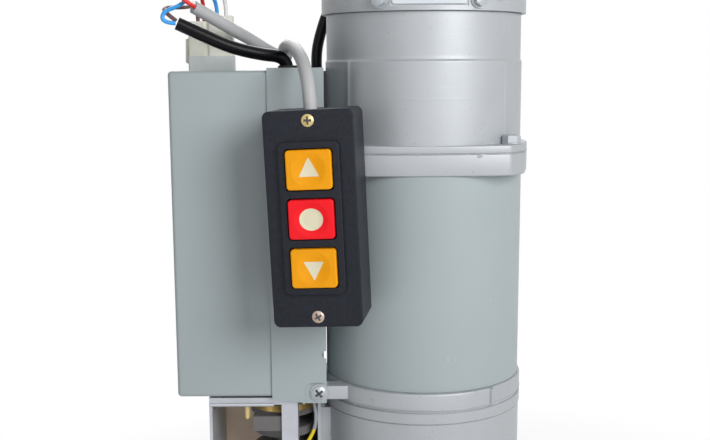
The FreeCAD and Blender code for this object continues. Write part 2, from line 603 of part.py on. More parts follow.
def stator():
    """Slotted stack of sheets and the winding with its two end bundles."""
    core = lathe("lamination_stack", [
        ("stator_bore_r", "stator_low"), (f"{TUBE_IN} - fit_gap", "stator_low"),
        (f"{TUBE_IN} - fit_gap", "stator_low + stator_height"),
        ("stator_bore_r", "stator_low + stator_height")])
    tools, bars = [], []
    count = int(SIZES["slot_count"])
    for index in range(count):
        angle = f"{index} * 360 / slot_count"
        tools.append(turned(slab(f"slot_{index}", "z",
                                 ("stator_bore_r - 1", "stator_bore_r + 2 + slot_depth"),
                                 centred("slot_width"), ("stator_low - 1",
                                                         "stator_low + stator_height + 1")), angle))
        bars.append(turned(slab(f"slot_bar_{index}", "z",
                                ("stator_bore_r + 2.5", "stator_bore_r + 1.5 + slot_depth"),
                                centred("slot_width - 1"),
                                ("stator_low - 2", "stator_low + stator_height + 2")), angle))
    for index, angle in enumerate(DIAGONALS):
        tools.append(turned_rod(f"tie_notch_{index}", "tie_rod_r + face_gap", "tie_rod_radius",
                                angle + 25,
                                "stator_low - 1", "stator_height + 2"))
    node("stator_core", cut("stator_core_cut", core, *tools))
    rings = []
    for name, low in (("low", "stator_low - winding_overhang"),
                      ("high", "stator_low + stator_height + 1")):
        high = f"{low} + winding_overhang - 1"
        rings.append(lathe(f"end_winding_{name}", [
            ("winding_in_r", f"{low} + 3"), ("winding_in_r + 3", low), ("winding_out_r - 3", low),
            ("winding_out_r", f"{low} + 3"), ("winding_out_r", f"{high} - 3"),
            ("winding_out_r - 3", high),
            ("winding_in_r + 3", high), ("winding_in_r", f"{high} - 3")]))
    node("stator_winding", fuse("stator_winding_sum", *rings, *bars))


def rotor():
    """Rotor core on its shaft with the motor pinion, and the three ball bearings."""
    low, high = "stator_low", "stator_low + stator_height"
    rim = "stator_bore_r - rotor_gap"
    node("rotor_core", lathe("rotor_core_body", [
        ("core_r + fit_gap", low), (f"{rim} - end_ring_width", low),
        (f"{rim} - end_ring_width", f"{low} - end_ring_height"),
        (rim, f"{low} - end_ring_height"), (rim, f"{high} + end_ring_height"),
        (f"{rim} - end_ring_width", f"{high} + end_ring_height"), (f"{rim} - end_ring_width", high),
        ("core_r + fit_gap", high)]))
    spindle = lathe("spindle", [
        ("0", "counter_wheel_low - 2"), ("pinion_shaft_r", "counter_wheel_low - 2"),
        ("pinion_shaft_r", "counter_wheel_low + wheel_width + 2"),
        ("journal_r", "counter_wheel_low + wheel_width + 2"), ("journal_r", f"{Z_SHIELD} + 1"),
        ("core_r", f"{Z_SHIELD} + 1"), ("core_r", f"{Z_BRAKE} - bearing_height - 1"),
        ("journal_r", f"{Z_BRAKE} - bearing_height - 1"), ("journal_r", Z_BRAKE),
        ("brake_shaft_r", Z_BRAKE),
        ("brake_shaft_r", f"{Z_MAGNET} + magnet_height + 8"), ("0", f"{Z_MAGNET} + magnet_height + 8")])
    pinion = gear("rotor_pinion", "pinion_teeth", (0, 0), "counter_wheel_low - 2", "wheel_width + 4", 90)
    node("rotor_shaft", fuse("rotor_shaft_sum", spindle, pinion))
    rings = [bearing("output_bearing", "output_shaft_r", "output_bearing_r - fit_gap", "0",
                     "output_bearing_height")]
    for name, base in (("low", Z_RIM), ("high", f"{Z_BRAKE} - bearing_height")):
        rings.append(bearing(f"rotor_bearing_{name}", "journal_r", "bearing_r", base, "bearing_height"))
    node("ball_bearings", group("ball_bearing_set", rings))


def bearing(name, inner, outer, low, height):
    """A ball bearing as one turned ring with shield grooves in both faces."""
    wide = f"( {outer} - ( {inner} ) )"
    near, far = f"{inner} + 0.28 * {wide}", f"{outer} - 0.25 * {wide}"
    high = f"{low} + {height}"
    groove = 0.8
    return lathe(name, [
        (f"{inner} + fit_gap", low), (near, low), (near, f"{low} + {groove}"), (far, f"{low} + {groove}"),
        (far, low), (outer, low), (outer, high), (far, high), (far, f"{high} - {groove}"),
        (near, f"{high} - {groove}"), (near, high), (f"{inner} + fit_gap", high)])


# Spring-applied brake

def brake():
    """Cast brake housing with its bolts, and the spring-applied brake inside it."""
    top = f"{Z_BRAKE} + brake_flange_thick"
    step = f"{top} + panel_height"
    spigot = "cover_r - cover_wall - fit_gap"
    flange = prism("brake_flange", "z", octagon(), Z_BRAKE, top, "casting_corner_r")
    drum = lathe("brake_drum", [
        ("0", Z_BRAKE), ("brake_r + drum_step", Z_BRAKE), ("brake_r + drum_step", step),
        ("brake_r", f"{step} + 1"), ("brake_r", Z_COVER), (spigot, Z_COVER),
        (spigot, f"{Z_COVER} + spigot_height"), ("0", f"{Z_COVER} + spigot_height")])
    panels = []
    for name, turn in (("front", 0), ("back", 180)):
        panels.append(sector(f"brake_panel_{name}", "panel_r", "brake_r - 1", Z_BRAKE,
                             "panel_height + brake_flange_thick", "panel_half_angle", turn))
    rough = fuse("brake_rough", flange, drum, *panels)
    hollow = lathe("brake_hollow", [("0", f"{Z_BRAKE} - 1"), (BRAKE_IN, f"{Z_BRAKE} - 1"),
                                    (BRAKE_IN, f"{Z_COVER} - 8"),
                                    ("cover_r - cover_wall - 4.5", f"{Z_COVER} - 4"),
                                    ("cover_r - cover_wall - 4.5", f"{Z_COVER} + spigot_height + 1"),
                                    ("0", f"{Z_COVER} + spigot_height + 1")])
    tools = [hollow] + flange_bolt_bars("brake_pass", "bolt_r + fit_gap", f"{Z_BRAKE} - 1", "20")
    tools += cover_bolt_bars("spigot_tap", "bolt_r")
    node("brake_housing", cut("brake_housing_cut", rough, gland_bar("spigot_gland_hole"), *tools))

    bolts = []
    for index, (sx, sy) in enumerate(((1, 1), (-1, 1), (-1, -1), (1, -1))):
        bolt = hex_bolt(f"flange_bolt_{index}", "flange_bolt_flats", "bolt_head", "bolt_r - fit_gap",
                        "flange_bolt_length")
        bolts.append(place(bolt, f"{sx} * flange_bolt_x", f"{sy} * flange_bolt_y", top))
    node("upper_flange_bolts", group("upper_flange_bolt_set", bolts))

    node("brake_disc", lathe("brake_disc_body", [
        ("brake_shaft_r + fit_gap", Z_DISC), ("disc_r", Z_DISC), ("disc_r", f"{Z_DISC} + disc_height"),
        ("brake_shaft_r + fit_gap", f"{Z_DISC} + disc_height")]))
    plate = lathe("armature_plate", [
        ("brake_shaft_r + 5", Z_ARMATURE), ("armature_r", Z_ARMATURE),
        ("armature_r", f"{Z_ARMATURE} + armature_height"),
        ("brake_shaft_r + 5", f"{Z_ARMATURE} + armature_height")])
    pot = lathe("magnet_pot", [
        ("brake_shaft_r + 5", Z_MAGNET), ("armature_r", Z_MAGNET),
        ("armature_r", f"{Z_MAGNET} + magnet_height - 2"),
        ("armature_r - 2", f"{Z_MAGNET} + magnet_height"), ("brake_shaft_r + 5",
                                                            f"{Z_MAGNET} + magnet_height")])
    holes, studs, pockets, springs = [], [], [], []
    for index in range(int(SIZES["stud_count"])):
        angle = f"( 90 + {index} * 360 / stud_count )"
        holes.append(turned_rod(f"stud_hole_{index}", "stud_r + fit_gap", "stud_radius", angle,
                                f"{Z_ARMATURE} - 1", "20"))
        studs.append(turned_rod(f"stud_{index}", "stud_r", "stud_radius", angle, Z_BRAKE,
                                f"{Z_MAGNET} + 1 - ( {Z_BRAKE} )"))
        spot = f"( 30 + {index} * 360 / stud_count )"
        pockets.append(turned_rod(f"spring_pocket_{index}", "spring_r + face_gap", "spring_radius", spot,
                                  f"{Z_MAGNET} - 1", "spring_height + 1"))
        outer = turned_rod(f"spring_outer_{index}", "spring_r", "spring_radius", spot,
                           f"{Z_MAGNET} + 0.1", "spring_height - 0.1")
        inner = turned_rod(f"spring_inner_{index}", "spring_r - spring_wire", "spring_radius", spot,
                           Z_MAGNET, "spring_height")
        springs.append(cut(f"brake_spring_{index}", outer, inner))
    node("brake_armature", cut("brake_armature_cut", plate, *holes))
    node("brake_magnet", cut("brake_magnet_cut", fuse("magnet_and_studs", pot, *studs), *pockets))
    node("brake_springs", group("brake_spring_set", springs))


COVER_BOLT_ANGLES = [f"( {middle} {side} cover_bolt_angle )" for middle in (-90, 90) for side in "+-"]


def radial(piece, angle, reach, height=f"{Z_COVER} + cover_bolt_lift"):
    """Set a piece that runs along X at a reach from the motor axis, pointing outwards."""
    piece.Placement = Placement(Vector(), Rotation(Vector(0, 0, 1), value(angle)) * TURN_TO_AXIS["x"])
    return place(piece, f"{reach} * cos({angle} * 1 deg)", f"{reach} * sin({angle} * 1 deg)", height)


def cover_bolt_bars(name, radius):
    """Four bars that cross the cover's skirt towards the motor axis."""
    bars = []
    for index, angle in enumerate(COVER_BOLT_ANGLES):
        bar = rod(f"{name}_{index}", radius, (0, 0, 0), "14", "x")
        bars.append(radial(bar, angle, "( cover_r - 13 )"))
    return bars


def gland_bar(name):
    """The hole for the gland of the brake lead, through the skirt and the spigot inside it."""
    bar = rod(name, "lead_r + 1.5 + fit_gap", (0, 0, 0), "20", "x")
    return radial(bar, "gland_angle", "( cover_r - cover_wall - 6 )", "gland_z")


# Top cover and hand-chain wheel

def top_cover():
    """Cast cover with a skirt, a recess with a plain plate, a boss for the chain wheel and four bolts."""
    inside = "cover_r - cover_wall"
    cap = lathe("cover_cap", [
        (inside, Z_COVER), ("cover_r", Z_COVER), ("cover_r", f"{Z_COVER} + cover_skirt"),
        ("cover_r - 3", f"{Z_COVER} + cover_skirt + 6"), ("cover_r - 14",
                                                          f"{Z_COVER} + cover_height - 2"),
        ("cover_boss_r", f"{Z_COVER} + cover_height"),
        ("cover_boss_r", f"{Z_COVER} + cover_height + cover_boss_height"),
        ("chain_shaft_r + fit_gap", f"{Z_COVER} + cover_height + cover_boss_height"),
        ("chain_shaft_r + fit_gap", f"{Z_COVER} + cover_height - 10"),
        ("cover_boss_r - 6", f"{Z_COVER} + cover_height - 10"),
        ("cover_boss_r - 6", f"{Z_COVER} + cover_height - 6"),
        (inside, f"{Z_COVER} + cover_skirt - 2")])
    recess = block("cover_recess",
                   ("0 - recess_width / 2", "0 - cover_r - 1", f"{Z_COVER} + recess_lift"),
                   ("recess_width / 2", "0 - recess_plane", f"{Z_COVER} + recess_lift + recess_height"))
    passes = cover_bolt_bars("cover_pass", "bolt_r + fit_gap")
    node("top_cover", cut("top_cover_cut", cap, recess, gland_bar("cover_gland_hole"), *passes))
    plate = slab("recess_plate_body", "y", ("0 - recess_width / 2 + 1", "recess_width / 2 - 1"),
                 (f"{Z_COVER} + recess_lift + 1", f"{Z_COVER} + recess_lift + recess_height - 1"),
                 ("0 - recess_plane - recess_plate", "0 - recess_plane"), "1.5")
    node("recess_plate", plate)
    bolts = []
    for index, bar in enumerate(cover_bolt_bars("cover_bolt_shank", "bolt_r - fit_gap")):
        bolts.append(cover_bolt(index, bar))
    node("top_cover_bolts", group("top_cover_bolt_set", bolts))


def cover_bolt(index, shank):
    """A radial hexagon bolt whose flat seat just clears the round skirt."""
    head = doc.addObject("Part::Prism", f"cover_bolt_head_{index}")
    head.Polygon = 6
    bind(head, Circumradius="flange_bolt_flats / sqrt(3)", Height="bolt_head")
    return fuse(f"cover_bolt_{index}", radial(head, COVER_BOLT_ANGLES[index], "( cover_r + 0.1 )"), shank)


def chain_wheel():
    """Hand-chain wheel with a pocketed groove, and the shaft that carries it."""
    low = f"{Z_COVER} + cover_height + cover_boss_height + face_gap"
    base = f"{low} + chain_hub_drop"
    middle = f"{base} + chain_wheel_width / 2"
    wheel = lathe("chain_wheel_turned", [
        ("chain_shaft_r + fit_gap", low), ("chain_hub_r", low), ("chain_hub_r", f"{base} + 5"),
        ("chain_wheel_r - 12", f"{base} + 5"), ("chain_wheel_r - 8", base), ("chain_wheel_r", base),
        ("chain_wheel_r", f"{base} + 4"), ("chain_wheel_r - chain_groove", f"{middle} - 1.5"),
        ("chain_wheel_r - chain_groove", f"{middle} + 1.5"),
        ("chain_wheel_r", f"{base} + chain_wheel_width - 4"),
        ("chain_wheel_r", f"{base} + chain_wheel_width"), ("chain_wheel_r - 8",
                                                           f"{base} + chain_wheel_width"),
        ("chain_wheel_r - 12", f"{base} + chain_wheel_width - 5"),
        ("chain_hub_r", f"{base} + chain_wheel_width - 5"),
        ("chain_hub_r", f"{base} + chain_wheel_width"), ("chain_shaft_r + fit_gap",
                                                         f"{base} + chain_wheel_width")])
    pockets = []
    for index in range(int(SIZES["chain_pocket_count"])):
        pocket = slab(f"chain_pocket_{index}", "z", ("chain_wheel_r - 6", "chain_wheel_r + 1"),
                      centred("chain_pocket_width"), (f"{base} + 3", f"{base} + chain_wheel_width - 3"))
        pockets.append(turned(pocket, f"{index} * 360 / chain_pocket_count"))
    node("chain_wheel", cut("chain_wheel_cut", wheel, *pockets))
    node("chain_wheel_shaft", lathe("chain_wheel_shaft_body", [
        ("0", f"{Z_COVER} + cover_height - 14"), ("chain_shaft_r + 3", f"{Z_COVER} + cover_height - 14"),
        ("chain_shaft_r + 3", f"{Z_COVER} + cover_height - 10 - face_gap"),
        ("chain_shaft_r", f"{Z_COVER} + cover_height - 10 - face_gap"),
        ("chain_shaft_r", f"{base} + chain_wheel_width"), ("chain_hub_r - 2",
                                                           f"{base} + chain_wheel_width"),
        ("chain_hub_r - 2", f"{base} + chain_wheel_width + 5"),
        ("0", f"{base} + chain_wheel_width + 6")]))


# Reduction gears and output shaft

def gear(name, teeth, centre, low, width, tooth_angle):
    """A spur gear with involute flanks, one tooth pointing at tooth_angle in degrees."""
    count, module = int(value(teeth)), value("gear_module")
    pitch_r = module * count / 2
    base_r = pitch_r * math.cos(math.radians(20))
    tip_r, root_r = pitch_r + value("tooth_tip") * module, pitch_r - value("tooth_root") * module
    half_tooth = (math.pi * module / 2 - value("gear_backlash")) / 2 / pitch_r

    def roll(radius):
        turn = math.acos(min(1.0, base_r / radius))
        return math.tan(turn) - turn

    def flank(radius):
        return half_tooth + roll(pitch_r) - roll(max(radius, base_r))

    def at(radius, angle):
        return Vector(radius * math.cos(angle), radius * math.sin(angle), 0)

    edges = []
    pitch = 2 * math.pi / count
    start_r = max(root_r, base_r)
    middle_r = (start_r + tip_r) / 2
    for index in range(count):
        axis = math.radians(tooth_angle) + index * pitch
        left = [at(r, axis - flank(r)) for r in (root_r, start_r, middle_r, tip_r)]
        right = [at(r, axis + flank(r)) for r in (tip_r, middle_r, start_r, root_r)]
        if start_r > root_r:
            edges.append(Part.LineSegment(left[0], left[1]).toShape())
        edges.append(Part.Arc(left[1], left[2], left[3]).toShape())
        edges.append(Part.Arc(left[3], at(tip_r, axis), right[0]).toShape())
        edges.append(Part.Arc(right[0], right[1], right[2]).toShape())
        if start_r > root_r:
            edges.append(Part.LineSegment(right[2], right[3]).toShape())
        after = at(root_r, axis + pitch - flank(root_r))
        edges.append(Part.Arc(right[3], at(root_r, axis + pitch / 2), after).toShape())
    face = Part.Face(Part.Wire(edges))
    shape = face.extrude(Vector(0, 0, value(width)))
    shape.translate(Vector(value(centre[0]), value(centre[1]), value(low)))
    return solid(name, shape)


def gear_train():
    """Two reduction stages, the output shaft with its seal and pulley, and the chain sprocket."""
    half_pitch = 180 / value("wheel_teeth")
    big = gear("counter_wheel", "wheel_teeth", (0, "gear_distance"), "counter_wheel_low", "wheel_width",
               -90 + half_pitch)
    small = gear("counter_pinion", "pinion_teeth", (0, "gear_distance"), "output_wheel_low - 2",
                 "wheel_width + 4", -90)
    waist = "counter_shaft_r + 1"
    shaft = lathe("counter_shaft", [
        ("0", "flange_thick - 7"), ("counter_shaft_r", "flange_thick - 7"),
        ("counter_shaft_r", "output_wheel_low + 2"), (waist, "output_wheel_low + 2"),
        (waist, "counter_wheel_low + 2"), ("counter_shaft_r", "counter_wheel_low + 2"),
        ("counter_shaft_r", "case_height + 5"), ("0", "case_height + 5")], 0, "gear_distance")
    node("counter_gear", fuse("counter_gear_sum", big, small, shaft))

    wheel = gear("output_wheel", "wheel_teeth", (0, 0), "output_wheel_low", "wheel_width",
                 90 + half_pitch)
    bore = rod("output_wheel_bore", "output_shaft_r + fit_gap", (0, 0, "output_wheel_low - 1"),
               "wheel_width + 2")
    node("output_gear", cut("output_gear_cut", wheel, bore))
    node("output_shaft", lathe("output_shaft_body", [
        ("0", "0 - output_reach"), ("output_shaft_r - 1", "0 - output_reach"),
        ("output_shaft_r", "1 - output_reach"),
        ("output_shaft_r", "counter_wheel_low - 8"), ("0", "counter_wheel_low - 8")]))
    node("shaft_seal", lathe("shaft_seal_body", [
        ("output_shaft_r + fit_gap", "0 - pilot_height + 0.5"),
        ("seal_r - fit_gap", "0 - pilot_height + 0.5"),
        ("seal_r - fit_gap", "0"), ("output_shaft_r + fit_gap", "0")]))
    node("output_pulley", pulley("output_pulley_body", "output_shaft_r + fit_gap", "output_pulley_r"))

    pitch_r = "( sprocket_pitch / 2 / sin(180 / sprocket_teeth * 1 deg) )"
    disc = lathe("sprocket_disc", [
        ("output_shaft_r + fit_gap", "sprocket_low"), (f"{pitch_r} + roller_r * 0.7", "sprocket_low + 1"),
        (f"{pitch_r} + roller_r * 0.7", "sprocket_low + sprocket_width - 1"),
        ("sprocket_hub_r", "sprocket_low + sprocket_width"),
        ("sprocket_hub_r", "sprocket_low + sprocket_width + sprocket_hub_height"),
        ("output_shaft_r + fit_gap", "sprocket_low + sprocket_width + sprocket_hub_height")])
    seats = []
    for index in range(int(SIZES["sprocket_teeth"])):
        seats.append(turned_rod(f"roller_seat_{index}", "roller_r", pitch_r,
                                f"( {index} * 360 / sprocket_teeth )",
                                "sprocket_low - 1", "sprocket_width + 1.5"))
    node("drive_sprocket", cut("drive_sprocket_cut", disc, *seats))


def pulley(name, bore, radius, x=0):
    """A belt pulley with a flange on each side of the belt."""
    low, high = "pulley_low - 1", "pulley_low + belt_width + 1"
    seat_low, seat_high = "pulley_low - face_gap", "pulley_low + belt_width + face_gap"
    flange = f"{radius} + 1.2"
    return lathe(name, [(bore, low), (flange, low), (flange, seat_low), (radius, seat_low),
                        (radius, seat_high),
                        (flange, seat_high), (flange, high), (bore, high)], x)


# Limit unit driven by the belt

def belt():
    """A closed loop of belt round two pulleys: two tangent runs and two arcs, inside and outside."""
    far = value("limit_x")
    big = value("output_pulley_r + belt_gap")
    small = value("limit_pulley_r + belt_gap")
    lean = math.acos((big - small) / abs(far))
    faces = []
    for extra in (value("belt_thick"), 0.0):
        def at(centre, radius, angle):
            return Vector(centre + radius * math.cos(angle), radius * math.sin(angle), 0)
        wide, narrow = big + extra, small + extra
        up, down = math.pi - lean, math.pi + lean
        edges = [
            Part.Arc(at(0, wide, down), at(0, wide, 0), at(0, wide, up)).toShape(),
            Part.LineSegment(at(0, wide, up), at(far, narrow, up)).toShape(),
            Part.Arc(at(far, narrow, up), at(far, narrow, math.pi), at(far, narrow, down)).toShape(),
            Part.LineSegment(at(far, narrow, down), at(0, wide, down)).toShape(),
        ]
        faces.append(Part.Face(Part.Wire(edges)))
    loop = faces[0].cut(faces[1]).extrude(Vector(0, 0, value("belt_width")))
    loop.translate(Vector(0, 0, value("pulley_low")))
    node("limit_belt", solid("limit_belt_loop", loop.Solids[0]))


def limit_frame():
    """Folded sheet frame of the limit unit with its post, its foot on the case and the nuts' guide."""
    right = "limit_pad_x"
    top = "limit_top"
    shelf = slab("limit_shelf", "z", ("limit_left", right), ("limit_front", "limit_back"),
                 (f"{top} - limit_sheet", top))
    lip = slab("limit_lip_bar", "x", ("limit_front", "limit_front + limit_sheet"),
               (f"{top} - limit_lip", top),
               ("limit_left", "post_right"), "0.9", lambda middle: middle.y < value("limit_front") + 0.5)
    base = slab("limit_base", "z", ("limit_left", right), ("limit_front", "limit_back"),
                ("limit_low", "limit_low + limit_sheet"))
    side = slab("limit_side", "x", ("limit_front", "limit_back"), ("limit_low", top),
                ("limit_left", "limit_left + limit_sheet"))
    post = slab("limit_post", "x", ("limit_front", "limit_front + post_depth"), ("limit_low", top),
                ("post_right - limit_sheet", "post_right"))
    face = slab("limit_post_face", "y", ("post_left", "post_right"), ("limit_low", top),
                ("limit_front", "limit_front + limit_sheet"))
    foot = slab("limit_foot", "x", ("0 - limit_pad_width / 2", "limit_pad_width / 2"), ("limit_low", top),
                (f"{right} - limit_sheet", right))
    guide = slab("nut_guide", "z", centred("guide_width", "limit_x"),
                 ("guide_y", "guide_y + guide_depth"),
                 ("limit_low", "limit_disc_low - 1"))
    rough = fuse("limit_frame_rough", shelf, lip, base, side, post, face, foot, guide)
    tools = [rod("shelf_seat", "screw_end_r + fit_gap", ("limit_x", 0, f"{top} - 10"), "20"),
             rod("base_seat", "screw_end_r + fit_gap", ("limit_x", 0, "limit_low - 1"), "5"),
             block("lead_notch", ("post_right + 1", "limit_front - 4", f"{top} - limit_sheet - 1"),
                   (f"{right} + 1", "0 - limit_pad_width / 2 - 2", f"{top} + 1")),
             block("foot_window",
                   (f"{right} - limit_sheet - 1", "0 - belt_window_width / 2", "pulley_low - 2"),
                   (f"{right} + 1", "belt_window_width / 2", "pulley_low - 2 + belt_window_height"))]
    node("limit_frame", cut("limit_frame_cut", rough, *tools))


def limit_unit():
    """Limit screw with its pulley, the indicator disc, two travelling nuts and their switches."""
    screw = lathe("limit_screw_body", [
        ("0", "limit_low"), ("screw_end_r", "limit_low"), ("screw_end_r",
                                                           "pulley_low + belt_width + 1.3"),
        ("screw_r", "pulley_low + belt_width + 1.3"), ("screw_r", "limit_disc_low"),
        ("screw_end_r", "limit_disc_low"),
        ("screw_end_r", "limit_top"), ("0", "limit_top")], "limit_x")
    wheel = pulley("limit_pulley", "screw_end_r - 1", "limit_pulley_r", "limit_x")
    node("limit_screw", fuse("limit_screw_sum", screw, wheel))
    high = "limit_disc_low + limit_disc_height"
    node("limit_disc", lathe("limit_disc_body", [
        ("screw_end_r + fit_gap", "limit_disc_low"), ("limit_disc_r", "limit_disc_low"),
        ("limit_disc_r", high),
        ("brass_ring_r", high), ("brass_ring_r", f"{high} + brass_ring_height"),
        ("brass_ring_r - brass_ring_width", f"{high} + brass_ring_height"),
        ("brass_ring_r - brass_ring_width", high),
        ("screw_end_r + fit_gap", high)], "limit_x"))
    for label, lift in (("limit_nut_lower", "0"), ("limit_nut_upper", "nut_spacing")):
        low = f"( nut_low + {lift} )"
        ring = lathe(label + "_ring", [
            ("screw_r + fit_gap", low), ("nut_r", low), ("nut_r", f"{low} + nut_height"),
            ("screw_r + fit_gap", f"{low} + nut_height")], "limit_x")
        notch = block(label + "_notch",
                      ("limit_x - guide_width / 2 - face_gap", "guide_y - face_gap", f"{low} - 1"),
                      ("limit_x + guide_width / 2 + face_gap", "nut_r + 2", f"{low} + nut_height + 1"))
        node(label, cut(label + "_cut", ring, notch))
    switches = []
    front = "limit_front + limit_sheet"
    for index, (lift, side) in enumerate((("nut_low - nut_travel - 1", -1),
                                          ("nut_low + nut_spacing + nut_height + nut_travel + 1", 1))):
        middle = f"( {lift} + {side} * switch_height / 2 )"
        case = slab(f"switch_case_{index}", "y",
                    ("post_left - switch_length + 1", "post_right - limit_sheet"),
                    (f"{middle} - switch_height / 2", f"{middle} + switch_height / 2"),
                    (front, f"{front} + switch_depth"), "0.8")
        lever = slab(f"switch_lever_{index}", "z", centred("switch_lever_width", "limit_x"),
                     (f"{front} + 1", "0 - screw_r - 7"), (f"{lift} - 0.4", f"{lift} + 0.4"))
        switches.append(fuse(f"limit_switch_{index}", case, lever))
    node("limit_switches", group("limit_switch_set", switches))


# Control box

def panel_pocket_floor():
    """Room between the panel's outer face and the floor of its corner pocket."""
    return "box_front - sheet - sheet_gap + pocket_depth"


def control_box():
    """Folded cover and base of the control box, and the screws that hold its panel."""
    outer = slab("cover_outer", "x", ("box_front", "box_back"), ("box_low", "box_top"),
                 ("box_left", "seam_x + seam_lap"), "bend_r")
    round_edges(outer, "cover_outer_bend", "bend_r", at_level("x", "box_left"))
    inner = slab("cover_inner", "x", ("box_front + sheet", "box_back - sheet"),
                 ("box_low + sheet", "box_top - sheet"),
                 ("box_left + sheet", "seam_x + seam_lap + 1"), "bend_r - sheet")
    round_edges(inner, "cover_inner_bend", "bend_r - sheet", at_level("x", "box_left + sheet"))
    socket_hole = block("socket_hole", ("plug_left + 1", "plug_y - plug_depth / 2 + 1", "box_top - 5"),
                        ("plug_right - 1", "plug_y + plug_depth / 2 - 1", "box_top + 1"))
    node("control_box_cover", cut("control_box_cover_cut", outer, inner, socket_hole))

    grow = "sheet_gap"
    wall = f"sheet + {grow}"
    shell = block("base_outer", ("seam_x", f"box_front - {wall}", f"box_low - ( {wall} )"),
                  ("box_right", f"box_back + {wall}", f"box_top + {wall}"))
    room = block("base_inner", ("seam_x - 1", f"box_front - {grow}", f"box_low - {grow}"),
                 ("box_right - sheet", f"box_back + {grow}", f"box_top + {grow}"))
    hollow_shell = cut("base_shell", shell, room)
    panel = prism("base_panel", "y", [("seam_x", f"box_low - ( {wall} )"),
                                      ("panel_right", "box_low - panel_drop"),
                                      ("panel_right", f"box_top + {wall}"),
                                      ("seam_x", f"box_top + {wall}")],
                  f"box_front - {wall}", f"box_front - {grow}")
    floor = panel_pocket_floor()
    boss = slab("pocket_boss", "y", ("pocket_left - sheet", "panel_right"),
                ("box_low - panel_drop + 0.5", "pocket_top + sheet"),
                (f"box_front - {wall}", f"{floor} + sheet"),
                "pocket_corner_r + sheet",
                lambda middle: middle.x < value("pocket_left") and middle.z > value("panel_screw_z"))
    dent = slab("pocket_dent", "y", ("pocket_left", "panel_right + 5"), ("box_low - 20", "pocket_top"),
                (f"box_front - {wall} - 1", floor), "pocket_corner_r",
                lambda middle: middle.x < value("pocket_left") + 1 and middle.z > value("panel_screw_z"))
    bore, ahead = "pan_shank_r + fit_gap", "box_front - 5"
    tools = [dent,
             rod("panel_screw_hole", bore, ("panel_screw_x", ahead, "panel_screw_z"), "10", "y"),
             rod("upper_screw_hole", bore, ("panel_screw_x", ahead, "upper_screw_z"), "10", "y"),
             rod("panel_half_hole", "panel_hole_r", ("panel_right", ahead, "panel_hole_z"), "10", "y"),
             rod("mains_hole", "grommet_r - 0.8 + fit_gap", ("mains_x", "mains_y", "box_top - 5"), "10"),
             rod("lead_hole", "lead_r + 1.5 + fit_gap", ("lead_x", "box_back - 5", "lead_z"), "10", "y")]
    lower_clear = block("lug_room", ("lug_left - 1", f"{floor} + sheet", "lug_low - 1"),
                        ("panel_right + 1", "box_front + pocket_depth + lug_depth + 1", "lug_high + 1"))
    upper_clear = block("upper_lug_room", ("lug_left - 1", "box_front - 0.05", "upper_lug_low - 1"),
                        ("panel_right + 1", "box_front + lug_depth + 5", "upper_lug_high + 1"))
    base = fuse("base_rough", cut("base_shell_with_rooms", hollow_shell, lower_clear, upper_clear), panel,
                boss)
    node("control_box_base", cut("control_box_base_cut", base, *tools))

    screws = []
    for index, (seat, height) in enumerate(((floor, "panel_screw_z"),
                                            (f"box_front - {wall}", "upper_screw_z"))):
        screw = pan_screw(f"panel_screw_{index}", "pan_head_r", "pan_head_height", "pan_shank_r",
                          "pan_shank_length")
        screw.Placement = Placement(Vector(), Rotation(Vector(1, 0, 0), 90))
        screws.append(place(screw, "panel_screw_x", seat, height))
    node("panel_screws", group("panel_screw_set", screws))


def box_contents():
    """Contactors, run capacitor and terminal block inside the box."""
    wall = "box_right - sheet"
    relays = []
    for index in range(2):
        low = f"box_low + contactor_lift + {index} * ( contactor_height + 4 )"
        case = block(f"contactor_case_{index}",
                     (f"{wall} - contactor_depth", "0 - contactor_width / 2", low),
                     (wall, "contactor_width / 2", f"{low} + contactor_height"))
        face = f"{wall} - contactor_depth"
        waist = block(f"contactor_waist_{index}",
                      (f"{face} - 1", "0 - contactor_width / 2 - 1", f"{low} + 14"),
                      (f"{face} + 8", "contactor_width / 2 + 1", f"{low} + contactor_height - 14"))
        relays.append(cut(f"contactor_{index}", case, waist))
    node("contactors", group("contactor_set", relays))
    low, high = "box_low + sheet", "box_low + sheet + capacitor_height"
    node("run_capacitor", lathe("run_capacitor_body", [
        ("0", low), ("capacitor_r - 1.5", low), ("capacitor_r", f"{low} + 1.5"),
        ("capacitor_r", f"{high} - 8"),
        ("3", f"{high} - 8"), ("3", high), ("0", high)], f"{wall} - contactor_depth - capacitor_r - 2",
        0))
    base, left, foot = "box_back - sheet", "seam_x - terminal_length / 2", "box_top - terminal_drop"
    front = f"{base} - terminal_depth"
    rail = block("terminal_rail", (left, front, foot), ("seam_x + seam_lap - 1", base,
                                                        f"{foot} + terminal_height"))
    wells = []
    for index in range(4):
        wells.append(block(f"terminal_well_{index}",
                           (f"{left} + 3 + {index} * 8.5", f"{front} - 1", f"{foot} + 4"),
                           (f"{left} + 8 + {index} * 8.5", f"{base} - 6", f"{foot} + 20")))
    node("terminal_block", cut("terminal_block_cut", rail, *wells))


